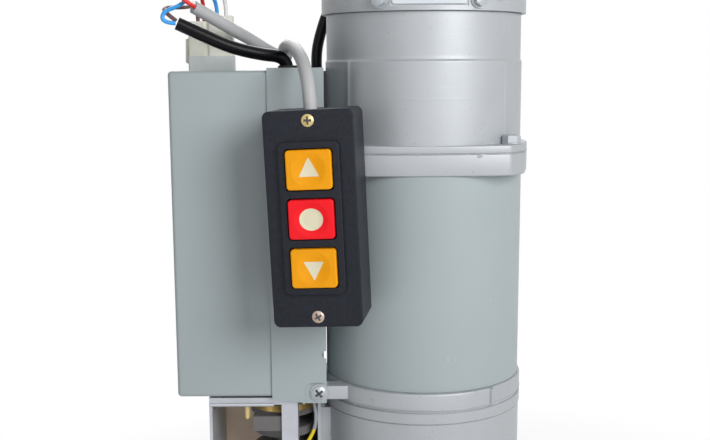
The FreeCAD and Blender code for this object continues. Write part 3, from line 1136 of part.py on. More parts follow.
def plug_and_grommets():
    """Socket and plug on top of the box, two grommets and the gland of the brake lead."""
    front, back = "plug_y - plug_depth / 2", "plug_y + plug_depth / 2"
    collar = slab("socket_collar", "z", ("plug_left", "plug_right"), (front, back),
                  ("box_top", "plug_joint"), "1.2")
    neck = block("socket_neck", ("plug_left + 1.3", f"{front} + 1.3", "box_top - 8"),
                 ("plug_right - 1.3", f"{back} - 1.3", "box_top + 1"))
    node("box_socket", fuse("box_socket_sum", collar, neck))
    low = slab("plug_column_low", "z", ("plug_left + 0.4", "plug_step_x + 1"),
               (f"{front} + 0.4", f"{back} - 0.4"),
               ("plug_joint", "plug_low_column"), "1")
    high = slab("plug_column_high", "z", ("plug_step_x", "plug_right - 0.4"),
                (f"{front} + 0.4", f"{back} - 0.4"),
                ("plug_joint", "plug_high_column"), "1")
    latch = prism("plug_latch", "y", [("plug_left + 1", "plug_joint + 12"),
                                      ("plug_left - 2", "plug_joint + 11"),
                                      ("plug_left - 2.4", "plug_joint - 4"),
                                      ("plug_left - 0.6", "plug_joint - 5"),
                                      ("plug_left - 0.4", "plug_joint + 4"),
                                      ("plug_left + 1", "plug_joint + 5")],
                  "plug_y - 3", "plug_y + 3")
    groove = block("plug_groove_cut", ("plug_step_x - plug_groove / 2", f"{front} - 1", "plug_joint - 1"),
                   ("plug_step_x + plug_groove / 2", f"{front} + 2.4", "plug_high_column + 1"))
    node("cable_plug", cut("cable_plug_cut", fuse("plug_rough", low, high, latch), groove))
    bushes = []
    for name, bore, neck_r, rim_r, face, axis, spot in (
            ("mains", "cable_r + grommet_ease", "grommet_r - 0.8", "grommet_r", "box_top", "z",
             ("mains_x", "mains_y", 0)),
            ("lead", "lead_r + grommet_ease", "lead_r + 1.5", "lead_r + 2.2", "box_back", "y",
             ("lead_x", 0, "lead_z"))):
        under, top = f"( {face} + sheet_gap )", f"( {face} + sheet + sheet_gap )"
        bush = lathe(f"grommet_{name}", [
            (bore, f"{under} - 2"), (rim_r, f"{under} - 2"), (rim_r, under), (neck_r, under),
            (neck_r, top),
            (rim_r, top), (f"{rim_r} - 0.6", f"{top} + grommet_height"),
            (bore, f"{top} + grommet_height")])
        bush.Placement = Placement(Vector(), TURN_TO_AXIS[axis])
        bushes.append(place(bush, *spot))
    neck_end, seat = "cover_r - cover_wall + 0.5", "cover_r + fit_gap"
    gland = lathe("brake_gland", [
        ("lead_r + fit_gap", neck_end), ("lead_r + 1.5", neck_end), ("lead_r + 1.5", seat),
        ("lead_r + 3", seat), ("lead_r + 3", "gland_reach - 1"), ("lead_r + 2", "gland_reach"),
        ("lead_r + fit_gap", "gland_reach")])
    bushes.append(radial(gland, "gland_angle", "0", "gland_z"))
    node("lead_grommets", group("lead_grommet_set", bushes))


# Push-button station

def in_station(obj):
    """Hang a piece of the station at the station's place and tilt."""
    obj.setExpression("Placement", q(
        "create(<<placement>>; create(<<vector>>; station_x; station_y; station_z);"
        " create(<<rotation>>; -1 * station_yaw; -1 * station_roll; 0))"))
    return obj


def station():
    """Two shells with screws, three dished buttons and the contact block behind them."""
    half, tall = "station_width / 2", "station_height / 2"
    width, height = (f"0 - {half}", half), (f"0 - {tall}", tall)
    room_w = (f"0 - {half} + station_wall", f"{half} - station_wall")
    room_h = (f"0 - {tall} + station_wall", f"{tall} - station_wall")
    split, front = "0 - station_split", "0 - station_depth"
    shell = slab("station_back_shell", "y", width, height, (split, "0"), "station_corner_r")
    room = slab("station_back_room", "y", room_w, room_h, (f"{split} - 1", "0 - station_wall"), "1.5")
    pillars, taps = [], []
    for index, side in enumerate((1, -1)):
        spot = (0, split, f"{side} * station_screw_z")
        pillars.append(rod(f"station_pillar_{index}", "station_screw_r", spot, "station_split - 1", "y"))
        taps.append(rod(f"station_tap_{index}", "1.8", spot, "station_split - 4", "y"))
    hollow = cut("station_back_hollow", shell, room)
    back = cut("station_back_cut", fuse("station_back_rough", hollow, *pillars), *taps)
    node("station_back", in_station(back))

    cap = slab("station_front_shell", "y", width, height, (front, f"{split} - sheet_gap"),
               "station_corner_r")
    round_edges(cap, "station_front_rim", "station_edge_r", at_level("y", front))
    bezel = slab("station_bezel", "y", centred("bezel_width"), centred("bezel_height", "bezel_lift"),
                 (f"{front} - bezel_proud", f"{front} + 1"), "bezel_corner_r")
    round_edges(bezel, "station_bezel_rim", "station_edge_r", at_level("y", f"{front} - bezel_proud"))
    tools = [slab("station_front_room", "y", room_w, room_h, (f"{front} + station_wall", f"{split} + 1"),
                  "1.5")]
    for index, side in enumerate((1, -1)):
        spot = (0, f"{front} - 1", f"{side} * station_screw_z")
        tools.append(rod(f"station_pass_{index}", "1.9", spot, "station_depth", "y"))
        tools.append(rod(f"station_sink_{index}", "station_screw_r + face_gap", spot, "2.2", "y"))
    for index in (1, 0, -1):
        tools.append(slab(f"button_window_{index + 1}", "y", centred("button_width + 2 * button_gap"),
                          centred("button_height + 2 * button_gap",
                                  f"{index} * button_pitch + bezel_lift"),
                          (f"{front} - bezel_proud - 1", f"{front} + station_wall + 1"),
                          "button_corner_r"))
    cable_spot = (0, "( 0 - station_depth - station_split ) / 2", "station_height / 2 - 6")
    tools.append(rod("station_cable_hole", "cable_r + fit_gap", cable_spot, "12"))
    node("station_front",
         in_station(cut("station_front_cut", fuse("station_front_rough", cap, bezel), *tools)))

    face = f"{front} - bezel_proud - button_proud"
    dish_ball = "( button_dish_r ^ 2 / button_dish + button_dish ) / 2"
    for index, label in ((1, "up_button"), (0, "stop_button"), (-1, "down_button")):
        rise = f"{index} * button_pitch + bezel_lift"
        key = slab(label + "_key", "y", centred("button_width"), centred("button_height", rise),
                   (face, f"{face} + button_length"), "button_corner_r - button_gap")
        round_edges(key, label + "_rim", "button_edge_r", at_level("y", face))
        skirt = slab(label + "_skirt", "y", centred("button_width + 2 * button_skirt"),
                     centred("button_height + 2 * button_skirt", rise),
                     (f"{front} + station_wall + face_gap", f"{face} + button_length"), "1")
        ball = bind(doc.addObject("Part::Sphere", label + "_ball"), Radius=dish_ball)
        place(ball, 0, f"{face} + button_dish - {dish_ball}", rise)
        node(label, in_station(cut(label + "_cut", fuse(label + "_sum", key, skirt), ball)))
    block_front = f"{face} + button_length + button_travel + 0.5"
    contact = slab("contact_case", "y", centred("block_width"), centred("block_height", "bezel_lift"),
                   (block_front, "0 - station_wall"), "1")
    node("contact_block", in_station(contact))

    screws = []
    for index, side in enumerate((1, -1)):
        screw = pan_screw(f"station_screw_{index}", "station_screw_r", "2.4", "1.7", "station_depth - 6")
        screw.Placement = Placement(Vector(), Rotation(Vector(1, 0, 0), 90))
        screws.append(place(screw, 0, f"{front} + 1.2", f"{side} * station_screw_z"))
    node("station_screws", in_station(group("station_screw_set", screws)))


# Cables: straight runs joined by tangent arcs

ROUTES = {
    "remote_cable": ("cable_r", [
        (-70.5, -91.86, 268.7), (-70.9, -91.8, 278.2), (-73.5, -86, 290), (-78, -73, 300.5),
        (-83, -50, 307.2), (-87.3, -22, 309.5), (-91, 1, 307.5), (-97.5, 11.5, 306), (-108, 11, 308),
        (-114, 0, 312), (-121.5, -16, 318), (-132.5, -28, 325.5), (-144.5, -36, 332.5)]),
    "mains_cable": ("cable_r", [
        (-87.5, -22, 288), (-87.5, -22, 298.6), (-93.2, -25.5, 302.6), (-103, -31, 303.4),
        (-121, -38, 307.5), (-139, -43, 315.5), (-153.5, -46, 322.3)]),
    "brake_lead": ("lead_r", [
        (-75.6, 22, 276), (-75.6, 41, 276), (-71, 47.5, 286), (-72, 49, 303), (-69.5, 51, 317),
        (-61.5, 51.6, 340), (-46, 38.6, 340)]),
    "blue_core": ("core_wire_r", [
        (-154.2, -47.6, 322.3), (-161.8, -49.4, 322.6), (-161.8, -48.8, 329), (-153, -36, 333.5),
        (-148.5, -24, 339.5), (-142, -12, 344), (-137.5, -2, 342), (-135.3, 6, 336.5), (-135.3, 6, 329)]),
    "brown_core": ("core_wire_r", [
        (-154.2, -44.7, 323.9), (-158.5, -44.6, 327.2), (-162.5, -41, 330.5), (-161.5, -35, 332.5),
        (-156.5, -27, 332.8), (-152, -17, 333.5), (-149.3, -6, 335), (-148, 6, 332.5), (-148, 6, 325.4)]),
    "red_core": ("core_wire_r", [
        (-143.45, -37.58, 332.5), (-148.6, -41, 335.5), (-153.5, -39.5, 340.5), (-154.5, -31, 346.5),
        (-150.5, -17, 349.5), (-146, -3, 346), (-143.8, 6, 337), (-143.8, 6, 325.4)]),
    "white_core": ("core_wire_r", [
        (-143.81, -35.54, 334.21), (-148.4, -38.6, 336.9), (-150, -33, 342.5), (-144.5, -22, 345.5),
        (-137.5, -11, 346), (-132, -1, 344.5), (-129.3, 6, 338.5), (-129.3, 6, 329)]),
    "limit_lead": ("limit_lead_r", [
        (-73.5, -31, 84.2), (-73, -32, 76), (-71.5, -33, 68), (-72.5, -33, 59), (-76.5, -33, 51),
        (-80.5, -35, 45)]),
}


def cord(label, radius_name, points):
    """A tube along straight runs whose corners are arcs as large as the runs allow."""
    radius = value(radius_name)
    corners = [Vector(*point) for point in points]
    edges, bends = [], []
    start = corners[0]
    for before, corner, after in zip(corners, corners[1:], corners[2:]):
        come, leave = corner - before, after - corner
        turn = come.getAngle(leave)
        reach = 0.45 * min(come.Length, leave.Length)
        come.normalize()
        leave.normalize()
        first, last = corner - come * reach, corner + leave * reach
        bend = reach / math.tan(turn / 2)
        toward = (leave - come).normalize()
        middle = corner + toward * (bend / math.cos(turn / 2) - bend)
        edges.append(Part.LineSegment(start, first).toShape())
        edges.append(Part.Arc(first, middle, last).toShape())
        bends.append(round(bend, 1))
        start = last
    edges.append(Part.LineSegment(start, corners[-1]).toShape())
    path = Part.Wire(edges)
    section = Part.Wire(Part.Circle(corners[0], (corners[1] - corners[0]).normalize(), radius).toShape())
    tube = path.makePipeShell([section], True, False)
    drawn, wanted = tube.Volume, math.pi * radius ** 2 * path.Length
    print(f"{label}: {path.Length:.0f} mm, volume ratio {drawn / wanted:.3f}, bend radii {bends}")
    node(label, solid(label + "_tube", tube))


# Build, test and write every sub-part
gear_case()
gear_plate()
lower_end_shield()
upper_end_shield()
motor_shell()
stator()
rotor()
brake()
top_cover()
chain_wheel()
gear_train()
belt()
limit_frame()
limit_unit()
control_box()
box_contents()
plug_and_grommets()
station()
for cord_label, (cord_radius, cord_points) in ROUTES.items():
    cord(cord_label, cord_radius, cord_points)
doc.recompute()

for item in doc.Objects:
    if "Invalid" in item.State or "Error" in item.State:
        raise RuntimeError(f"{item.Name} did not build: {item.State}")
os.makedirs("parts", exist_ok=True)
for item in NODES:
    if item.Shape.isNull() or not item.Shape.isValid():
        raise RuntimeError(f"{item.Label} has no valid shape")
    item.Shape.exportStep(f"parts/{item.Label}.step")
print(f"{len(NODES)} sub-parts written")
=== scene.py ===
"""Looks of an upright roller-shutter motor: finishes, cords and fine pieces.

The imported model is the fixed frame. Every new piece is worked out in metres in that frame,
stands where its solid stands and rides on the same body.
"""
from __future__ import annotations

import json
import logging
import math
from collections.abc import Iterable
from dataclasses import dataclass, replace
from enum import Enum
from functools import cache, cached_property, reduce

import bmesh
import bpy
import numpy as np
from mathutils import Matrix, Vector

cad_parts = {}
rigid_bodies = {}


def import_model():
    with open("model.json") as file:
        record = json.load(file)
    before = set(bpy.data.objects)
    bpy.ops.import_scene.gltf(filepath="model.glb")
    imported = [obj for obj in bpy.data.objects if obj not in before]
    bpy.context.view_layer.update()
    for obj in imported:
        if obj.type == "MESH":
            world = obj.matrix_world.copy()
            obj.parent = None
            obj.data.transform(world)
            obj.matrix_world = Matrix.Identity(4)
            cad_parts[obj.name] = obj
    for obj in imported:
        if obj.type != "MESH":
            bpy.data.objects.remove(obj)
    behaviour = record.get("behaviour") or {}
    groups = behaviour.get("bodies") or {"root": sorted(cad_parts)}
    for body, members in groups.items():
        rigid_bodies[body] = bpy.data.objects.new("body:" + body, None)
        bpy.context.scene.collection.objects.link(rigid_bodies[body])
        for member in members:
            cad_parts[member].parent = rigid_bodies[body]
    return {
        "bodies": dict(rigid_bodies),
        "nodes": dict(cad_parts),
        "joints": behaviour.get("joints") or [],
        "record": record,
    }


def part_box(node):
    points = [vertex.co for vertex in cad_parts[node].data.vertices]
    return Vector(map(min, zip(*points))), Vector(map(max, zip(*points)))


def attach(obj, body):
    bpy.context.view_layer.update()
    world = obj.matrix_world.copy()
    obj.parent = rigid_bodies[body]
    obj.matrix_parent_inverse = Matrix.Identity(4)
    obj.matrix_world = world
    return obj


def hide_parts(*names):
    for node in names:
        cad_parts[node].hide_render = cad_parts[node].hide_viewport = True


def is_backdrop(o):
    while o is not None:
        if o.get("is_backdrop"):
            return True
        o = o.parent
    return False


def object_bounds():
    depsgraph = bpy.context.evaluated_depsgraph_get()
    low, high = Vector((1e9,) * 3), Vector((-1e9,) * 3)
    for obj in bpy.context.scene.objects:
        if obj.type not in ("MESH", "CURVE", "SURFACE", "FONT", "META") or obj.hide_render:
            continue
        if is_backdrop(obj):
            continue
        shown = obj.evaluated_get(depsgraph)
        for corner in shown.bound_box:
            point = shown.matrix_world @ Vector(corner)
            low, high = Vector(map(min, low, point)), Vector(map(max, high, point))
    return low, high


LOG = logging.getLogger("shutter_motor")
MM = 0.001

Colour = tuple[float, float, float]
Point = tuple[float, float, float]
Span = tuple[float, float]
BoltSize = tuple[float, float, float, float]
Row = tuple[float | np.ndarray, float | np.ndarray]
Socket = bpy.types.NodeSocket

NOISE_RANGE = (0.3, 0.7)
INNERMOST = 0.02
BOLT_BORE = 2 * MM
HEAD_SUNK = 0.1 * MM


# Outlines and curves worked out as whole arrays

def full_turn(steps: int) -> np.ndarray:
    """Evenly spaced angles of one whole turn."""
    return np.linspace(0, 2 * math.pi, steps, endpoint=False)


def quarter(steps: int) -> np.ndarray:
    """Evenly spaced angles from 0 to a quarter turn."""
    return np.linspace(0, math.pi / 2, steps)


def eased(share: np.ndarray) -> np.ndarray:
    """A share from 0 to 1 made S-shaped: three times its square less twice its cube."""
    return share * share * (3 - 2 * share)


def turned(angle: float, axis: str) -> Matrix:
    """A turn about one axis, in radians."""
    return Matrix.Rotation(angle, 4, axis)


FRONTWARDS = turned(math.pi / 2, "X")


def rings_of(outline: np.ndarray, depth: np.ndarray, height: np.ndarray) -> np.ndarray:
    """Rings of one outline, each moved inwards by its depth and set at its height.

    The way out at a point is square to the line between its two neighbours.

    Args:
        outline: Closed outline, counter-clockwise, points by 2.
        depth: Distance inwards, one per ring or rings by points.
        height: Height, in the same way.

    Returns:
        Points, rings by points by 3.
    """
    tangent = np.roll(outline, -1, axis=0) - np.roll(outline, 1, axis=0)
    outward = np.stack([tangent[:, 1], -tangent[:, 0]], axis=1)
    outward /= np.linalg.norm(outward, axis=1, keepdims=True)
    flat = outline - outward * np.reshape(depth, (len(depth), -1, 1))
    tall = np.broadcast_to(np.reshape(height, (len(height), -1, 1)), flat.shape[:2] + (1,))
    return np.concatenate([flat, tall], axis=2)


def rounded(corners: list[Span], radius: float, steps: int = 8) -> np.ndarray:
    """Closed outline whose corners are circular arcs.

    Each arc is the rational quadratic curve between its two tangent points. The corner is its
    control point, and the cosine of half the turn is its weight.

    Args:
        corners: Corners of the outline, counter-clockwise.
        radius: Radius of every arc.
        steps: Points on each arc.

    Returns:
        Points of the outline, points by 2.
    """
    corner = np.asarray(corners, float)
    back = np.roll(corner, 1, axis=0) - corner
    ahead = np.roll(corner, -1, axis=0) - corner
    back /= np.linalg.norm(back, axis=1, keepdims=True)
    ahead /= np.linalg.norm(ahead, axis=1, keepdims=True)
    half_turn = (math.pi - np.arccos(np.clip((back * ahead).sum(axis=1), -1, 1))) / 2
    reach = (radius * np.tan(half_turn))[:, None]
    start, end = corner + back * reach, corner + ahead * reach
    share = np.linspace(0, 1, steps)[None, :, None]
    weight = np.cos(half_turn)[:, None, None]
    first, middle, last = (1 - share) ** 2, 2 * share * (1 - share) * weight, share ** 2
    curve = first * start[:, None] + middle * corner[:, None] + last * end[:, None]
    return (curve / (first + middle + last)).reshape(-1, 2)


def rectangle(width: float, height: float, radius: float, steps: int = 8) -> np.ndarray:
    """Rectangle about the origin with rounded corners."""
    x, y = width / 2, height / 2
    return rounded([(-x, -y), (x, -y), (x, y), (-x, y)], radius, steps)


def evenly(outline: np.ndarray, count: int) -> np.ndarray:
    """A closed outline walked at even steps along its length.

    The length run at each point is the sum of the sides before it, and both coordinates are read
    off at equal shares of the whole length.

    Args:
        outline: Closed outline, points by 2.
        count: Points wanted.

    Returns:
        Evenly spaced points of the same outline, count by 2.
    """
    loop = np.concatenate([outline, outline[:1]])
    run = np.concatenate([[0], np.cumsum(np.linalg.norm(np.diff(loop, axis=0), axis=1))])
    spots = np.linspace(0, run[-1], count, endpoint=False)
    return np.stack([np.interp(spots, run, loop[:, 0]), np.interp(spots, run, loop[:, 1])], axis=1)


def window(angle: np.ndarray, middle: float, half: float, soft: float) -> np.ndarray:
    """1 within half an opening angle of a direction and 0 outside, with an S-shaped flank."""
    away = np.abs((angle - middle + math.pi) % (2 * math.pi) - math.pi)
    return eased(np.clip((half - away) / soft + 0.5, 0, 1))


def wander(count: int, waves: int, seed: int) -> np.ndarray:
    """A closed run of smooth random numbers about 0, a sum of sines with seeded phases."""
    sines = 14
    rng = np.random.default_rng(seed)
    order = rng.integers(waves // 3, waves, sines)[:, None]
    phase = rng.uniform(0, 2 * math.pi, sines)[:, None]
    return np.sin(order * full_turn(count) + phase).sum(axis=0) / (sines / 2)


# Surfaces

@dataclass(frozen=True)
class Surface:
    """Points and faces of one or more closed shells, in metres."""

    points: np.ndarray
    faces: list[list[int]]

    @classmethod
    def from_rings(cls, grid: np.ndarray, closed: bool = False) -> Surface:
        """Skin a stack of rings, where row i of the grid is one closed ring.

        Each quad joins two neighbours on one ring with the same two on the next ring. The first
        and the last ring get one flat face each, unless the stack closes on itself.

        Args:
            grid: Points, shaped rings by points by 3.
            closed: True where the last ring joins the first.

        Returns:
            The closed surface.
        """
        rows, cols = grid.shape[:2]
        index = np.arange(rows * cols).reshape(rows, cols)
        lower = index if closed else index[:-1]
        upper = np.roll(index, -1, axis=0) if closed else index[1:]
        corners = [lower, np.roll(lower, -1, axis=1), np.roll(upper, -1, axis=1), upper]
        faces = np.stack(corners, axis=-1).reshape(-1, 4).tolist()
        if not closed:
            faces += [index[0, ::-1].tolist(), index[-1].tolist()]
        return cls(grid.reshape(-1, 3), faces)

    @classmethod
    def spun(cls, rows: Iterable[Row], steps: int = 192, closed: bool = True) -> Surface:
        """Spin a half section about Z: x is radius times cosine, y radius times sine.

        Args:
            rows: Radius and height of each row, as numbers or as arrays with one value per step.
            steps: Points round the axis.
            closed: True where the half section is a closed loop.

        Returns:
            The turned surface.
        """
        angle = full_turn(steps)
        wide, tall = (np.stack([np.broadcast_to(value, steps) for value in side]) for side in zip(*rows))
        return cls.from_rings(np.stack([wide * np.cos(angle), wide * np.sin(angle), tall], axis=-1), closed)

    @classmethod
    def prism(cls, outline: np.ndarray, low: float, high: float, edge: float) -> Surface:
        """Carry an outline along Z and round both rims by a quarter circle.

        Args:
            outline: Closed outline, counter-clockwise, points by 2.
            low: Lower height.
            high: Upper height.
            edge: Radius of the rims.

        Returns:
            The closed prism.
        """
        turn = quarter(5)
        depth = edge * (1 - np.sin(np.concatenate([turn, turn[::-1]])))
        rise = edge * (1 - np.cos(turn))
        height = np.concatenate([low + rise, high - rise[::-1]])
        return cls.from_rings(rings_of(outline, depth, height))

    @classmethod
    def block(cls, low: Vector, high: Vector, corner: float, edge: float) -> Surface:
        """A block with rounded upright corners and softened rims.

        Args:
            low: Lowest corner.
            high: Highest corner.
            corner: Radius of the upright corners.
            edge: Radius of the upper and lower rims.

        Returns:
            The closed block.
        """
        size, middle = high - low, (low + high) / 2
        outline = rectangle(size.x, size.y, corner) + np.array([middle.x, middle.y])
        return cls.prism(outline, low.z, high.z, edge)

    def __add__(self, other: Surface) -> Surface:
        """Two surfaces as one."""
        shift = len(self.points)
        faces = self.faces + [[corner + shift for corner in face] for face in other.faces]
        return Surface(np.concatenate([self.points, other.points]), faces)

    def moved(self, matrix: Matrix) -> Surface:
        """The surface carried by a matrix that turns and shifts."""
        array = np.array(matrix)
        return Surface(self.points @ array[:3, :3].T + array[:3, 3], self.faces)

    def lifted(self, height: float) -> Surface:
        """The surface moved along Z."""
        return self.moved(Matrix.Translation((0, 0, height)))

    def copies(self, places: Iterable[Matrix]) -> Surface:
        """The surface at several places, as one."""
        return reduce(Surface.__add__, (self.moved(place) for place in places))


# Fasteners, each standing on Z = 0

def hex_head(flats: float, height: float) -> Surface:
    """A hexagon head whose top is chamfered by a cone.

    The radius is half the flats divided by the cosine of the angle to the nearest flat. The
    chamfer starts on a circle a little smaller than the flats and falls 30 degrees outwards.

    Args:
        flats: Width across flats.
        height: Height of the head.

    Returns:
        The closed head.
    """
    steps = 48
    side = flats / 2 / np.cos((full_turn(steps) % (math.pi / 3)) - math.pi / 6)
    crown = flats * 0.46
    shoulder = height - (side - crown) * math.tan(math.radians(30))
    return Surface.spun([(side, 0), (side, shoulder), (crown, height)], steps, closed=False)


def washer(inner: float, outer: float, thick: float) -> Surface:
    """A flat ring with softened rims."""
    soft = thick * 0.25
    rows = [(inner, 0), (outer - soft, 0), (outer, soft), (outer, thick - soft), (outer - soft, thick),
            (inner, thick)]
    return Surface.spun(rows, steps=64)


def bolt(flats: float, height: float, washer_radius: float, thick: float) -> Surface:
    """A hexagon head on its washer.

    Args:
        flats: Width across flats.
        height: Height of the head.
        washer_radius: Outer radius of the washer.
        thick: Thickness of the washer.

    Returns:
        The two as one surface, the head a little way into the washer.
    """
    return washer(BOLT_BORE, washer_radius, thick) + hex_head(flats, height).lifted(thick - HEAD_SUNK)


def cross_head(radius: float, height: float) -> Surface:
    """A domed screw head with a cross recess.

    The dome falls with the square of the distance from the middle. Two crossed slots with steep
    flanks are taken out of it, and they get shallower towards their ends.

    Args:
        radius: Radius of the head.
        height: Height of its crown.

    Returns:
        The closed head.
    """
    steps = 96
    angle = full_turn(steps)
    share = np.concatenate([[1, 1], np.linspace(0.97, 0.03, 40)])[:, None]
    reach = share * radius * np.ones(steps)
    x, y = np.abs(reach * np.cos(angle)), np.abs(reach * np.sin(angle))
    dome = height * (0.45 + 0.55 * (1 - share ** 2)) * np.ones(steps)
    dome[0] = 0
    half, arm, flank, end = 0.15 * radius, 0.66 * radius, 0.04 * radius, 0.22 * radius

    def slot(across: np.ndarray, along: np.ndarray) -> np.ndarray:
        """1 in the slot and 0 outside, with sloping ends."""
        return np.clip((half - across) / flank + 0.5, 0, 1) * np.clip((arm - along) / end, 0, 1)

    dome -= 1.1 * height * np.maximum(slot(x, y), slot(y, x)) * (share < 1)
    return Surface.spun(zip(reach, dome), steps, closed=False)


def cross_recess_shade(radius: float, height: float) -> Surface:
    """Painted shade at the bottom of a cross recess: two crossed bars, given a dark finish, that end below
    the dome.

    Args:
        radius: Radius of the screw head.
        height: Height of its crown.

    Returns:
        The crossed bars.
    """
    low = Vector((-0.5 * radius, -0.13 * radius, -0.05 * height))
    bar = Surface.block(low, Vector((-low.x, -low.y, 0.56 * height)), 0.04 * radius, 0.03 * radius)
    return bar + bar.moved(turned(math.pi / 2, "Z"))


# Finishes

class NodeSheet:
    """A node tree that is filled node by node."""

    mix_share, mix_first, mix_second, mix_result = 0, 6, 7, 2

    def __init__(self, owner: bpy.types.Material | bpy.types.World) -> None:
        """Start with the owner's tree, emptied."""
        owner.use_nodes = True
        self.tree = owner.node_tree
        self.tree.nodes.clear()

    @cached_property
    def place(self) -> Socket:
        """The object's own coordinates."""
        return self.node("TexCoord").outputs["Object"]

    def node(self, kind: str, inputs: dict[str | int, object] | None = None,
             **choices: str) -> bpy.types.Node:
        """Add a node.

        Args:
            kind: Its type, without the words that all shader nodes start with.
            inputs: What its inputs get, by name or number.
            choices: Its own settings, by name.

        Returns:
            The new node.
        """
        node = self.tree.nodes.new("ShaderNode" + kind)
        for name, choice in choices.items():
            setattr(node, name, choice)
        for name, value in (inputs or {}).items():
            self.give(node, name, value)
        return node

    def give(self, node: bpy.types.Node, name: str | int, value: object) -> None:
        """Link a socket to a node's input, or set the input to a plain value."""
        if isinstance(value, Socket):
            self.tree.links.new(value, node.inputs[name])
        else:
            node.inputs[name].default_value = value

    def ranged(self, value: Socket, given: Span, wanted: Span = (0, 1)) -> Socket:
        """Map a value from one range to another, held at both ends."""
        inputs = {"Value": value, "From Min": given[0], "From Max": given[1], "To Min": wanted[0],
                  "To Max": wanted[1]}
        return self.node("MapRange", inputs).outputs["Result"]

    def blended(self, share: Socket, first: Colour | Socket, second: Colour) -> Socket:
        """A colour between two, by share, where the first may come from another node."""
        start = first if isinstance(first, Socket) else (*first, 1)
        inputs = {self.mix_share: share, self.mix_first: start, self.mix_second: (*second, 1)}
        return self.node("Mix", inputs, data_type="RGBA").outputs[self.mix_result]

    def white_share(self, share: Socket | None = None) -> Socket:
        """How far rays from the camera, mirrors and glass see plain white instead of the shaded surface.

        Args:
            share: The share for those rays, or all where it is left out.

        Returns:
            The share for those rays, and 0 for other rays.
        """
        rays = self.node("LightPath")
        total = rays.outputs["Is Camera Ray"]
        for name in ("Is Glossy Ray", "Is Transmission Ray"):
            total = self.node("Math", {0: total, 1: rays.outputs[name]}, operation="MAXIMUM").outputs[0]
        if share is None:
            return total
        return self.node("Math", {0: total, 1: share}, operation="MULTIPLY").outputs[0]


class FinishSheet(NodeSheet):
    """The node tree of a finish: one principled shader, and patterns on the object's own coordinates."""

    def __init__(self, material: bpy.types.Material) -> None:
        """Start with the shader and the output."""
        super().__init__(material)
        self.shader = self.node("BsdfPrincipled")
        self.node("OutputMaterial", {"Surface": self.shader.outputs[0]})

    def noise(self, scale: float, detail: float, stretch: Point = (1, 1, 1)) -> Socket:
        """Noise about 0.5.

        Args:
            scale: Waves per metre.
            detail: Octaves of finer noise.
            stretch: Factor on each axis, above 1 for a finer pattern along it.

        Returns:
            The noise value.
        """
        mapping = self.node("Mapping", {"Vector": self.place, "Scale": stretch})
        inputs = {"Vector": mapping.outputs[0], "Scale": scale, "Detail": detail}
        return self.node("TexNoise", inputs).outputs["Fac"]

    def bands(self, scale: float, axis: str, wobble: float) -> Socket:
        """Even bands across one axis, as turning marks or laid wire.

        Args:
            scale: Bands per metre, times about three.
            axis: X, Y or Z, the axis that the bands cross.
            wobble: How far the bands waver.

        Returns:
            The band value from 0 to 1.
        """
        inputs = {"Vector": self.place, "Scale": scale, "Distortion": wobble}
        return self.node("TexWave", inputs, bands_direction=axis).outputs["Fac"]

    def along(self, axis: str) -> Socket:
        """Distance from the frame's origin along X, Y or Z, in metres."""
        return self.node("SeparateXYZ", {0: self.place}).outputs[axis]

    def bump(self, height: Socket, distance: float, strength: float) -> None:
        """Raise the surface by a height pattern, chained after an earlier bump."""
        node = self.node("Bump", {"Height": height, "Distance": distance, "Strength": strength})
        earlier = self.shader.inputs["Normal"].links
        if earlier:
            self.give(node, "Normal", earlier[0].from_socket)
        self.give(self.shader, "Normal", node.outputs[0])


def scaled(colour: Colour, factor: float) -> Colour:
    """A lighter or darker colour, held below 1."""
    return tuple(min(1.0, channel * factor) for channel in colour)


@dataclass(frozen=True)
class Finish:
    """A plain finish with a slightly uneven colour and gloss."""

    name: str
    colour: Colour
    roughness: float
    metallic: float = 0.0
    specular: float = 0.5
    uneven: float = 0.06
    uneven_scale: float = 60.0
    gloss_swing: float = 0.05
    grain_scale: float = 1800.0
    grain_depth: float = 0.05

    @cache
    def material(self) -> bpy.types.Material:
        """The finish as a material, made once."""
        material = bpy.data.materials.new(self.name + "_finish")
        sheet = FinishSheet(material)
        sheet.give(sheet.shader, "Metallic", self.metallic)
        sheet.give(sheet.shader, "Specular IOR Level", self.specular)
        sheet.give(sheet.shader, "Base Color", self.tone(sheet))
        self.relief(sheet)
        return material

    def tone(self, sheet: FinishSheet) -> Socket:
        """The colour all over the surface."""
        return self.clouds(sheet)

    def clouds(self, sheet: FinishSheet, detail: float = 4, stretch: Point = (1, 1, 1),
               given: Span = NOISE_RANGE) -> Socket:
        """The colour in soft patches, a little darker and a little lighter.

        Args:
            sheet: The node tree.
            detail: Octaves of finer noise.
            stretch: Factor of the pattern on each axis.
            given: Noise values of the darkest and the lightest patches.

        Returns:
            The colour.
        """
        share = sheet.ranged(sheet.noise(self.uneven_scale, detail, stretch), given)
        dark, light = scaled(self.colour, 1 - self.uneven), scaled(self.colour, 1 + self.uneven)
        return sheet.blended(share, dark, light)

    def gloss(self, sheet: FinishSheet, pattern: Socket, given: Span) -> None:
        """Roughness that follows a pattern, evenly to both sides of its own value."""
        wanted = (self.roughness - self.gloss_swing, self.roughness + self.gloss_swing)
        sheet.give(sheet.shader, "Roughness", sheet.ranged(pattern, given, wanted))

    def relief(self, sheet: FinishSheet) -> None:
        """Uneven gloss and a fine grain."""
        grain = sheet.noise(self.grain_scale, detail=2)
        self.gloss(sheet, grain, NOISE_RANGE)
        sheet.bump(grain, self.grain_depth * MM, strength=0.5)


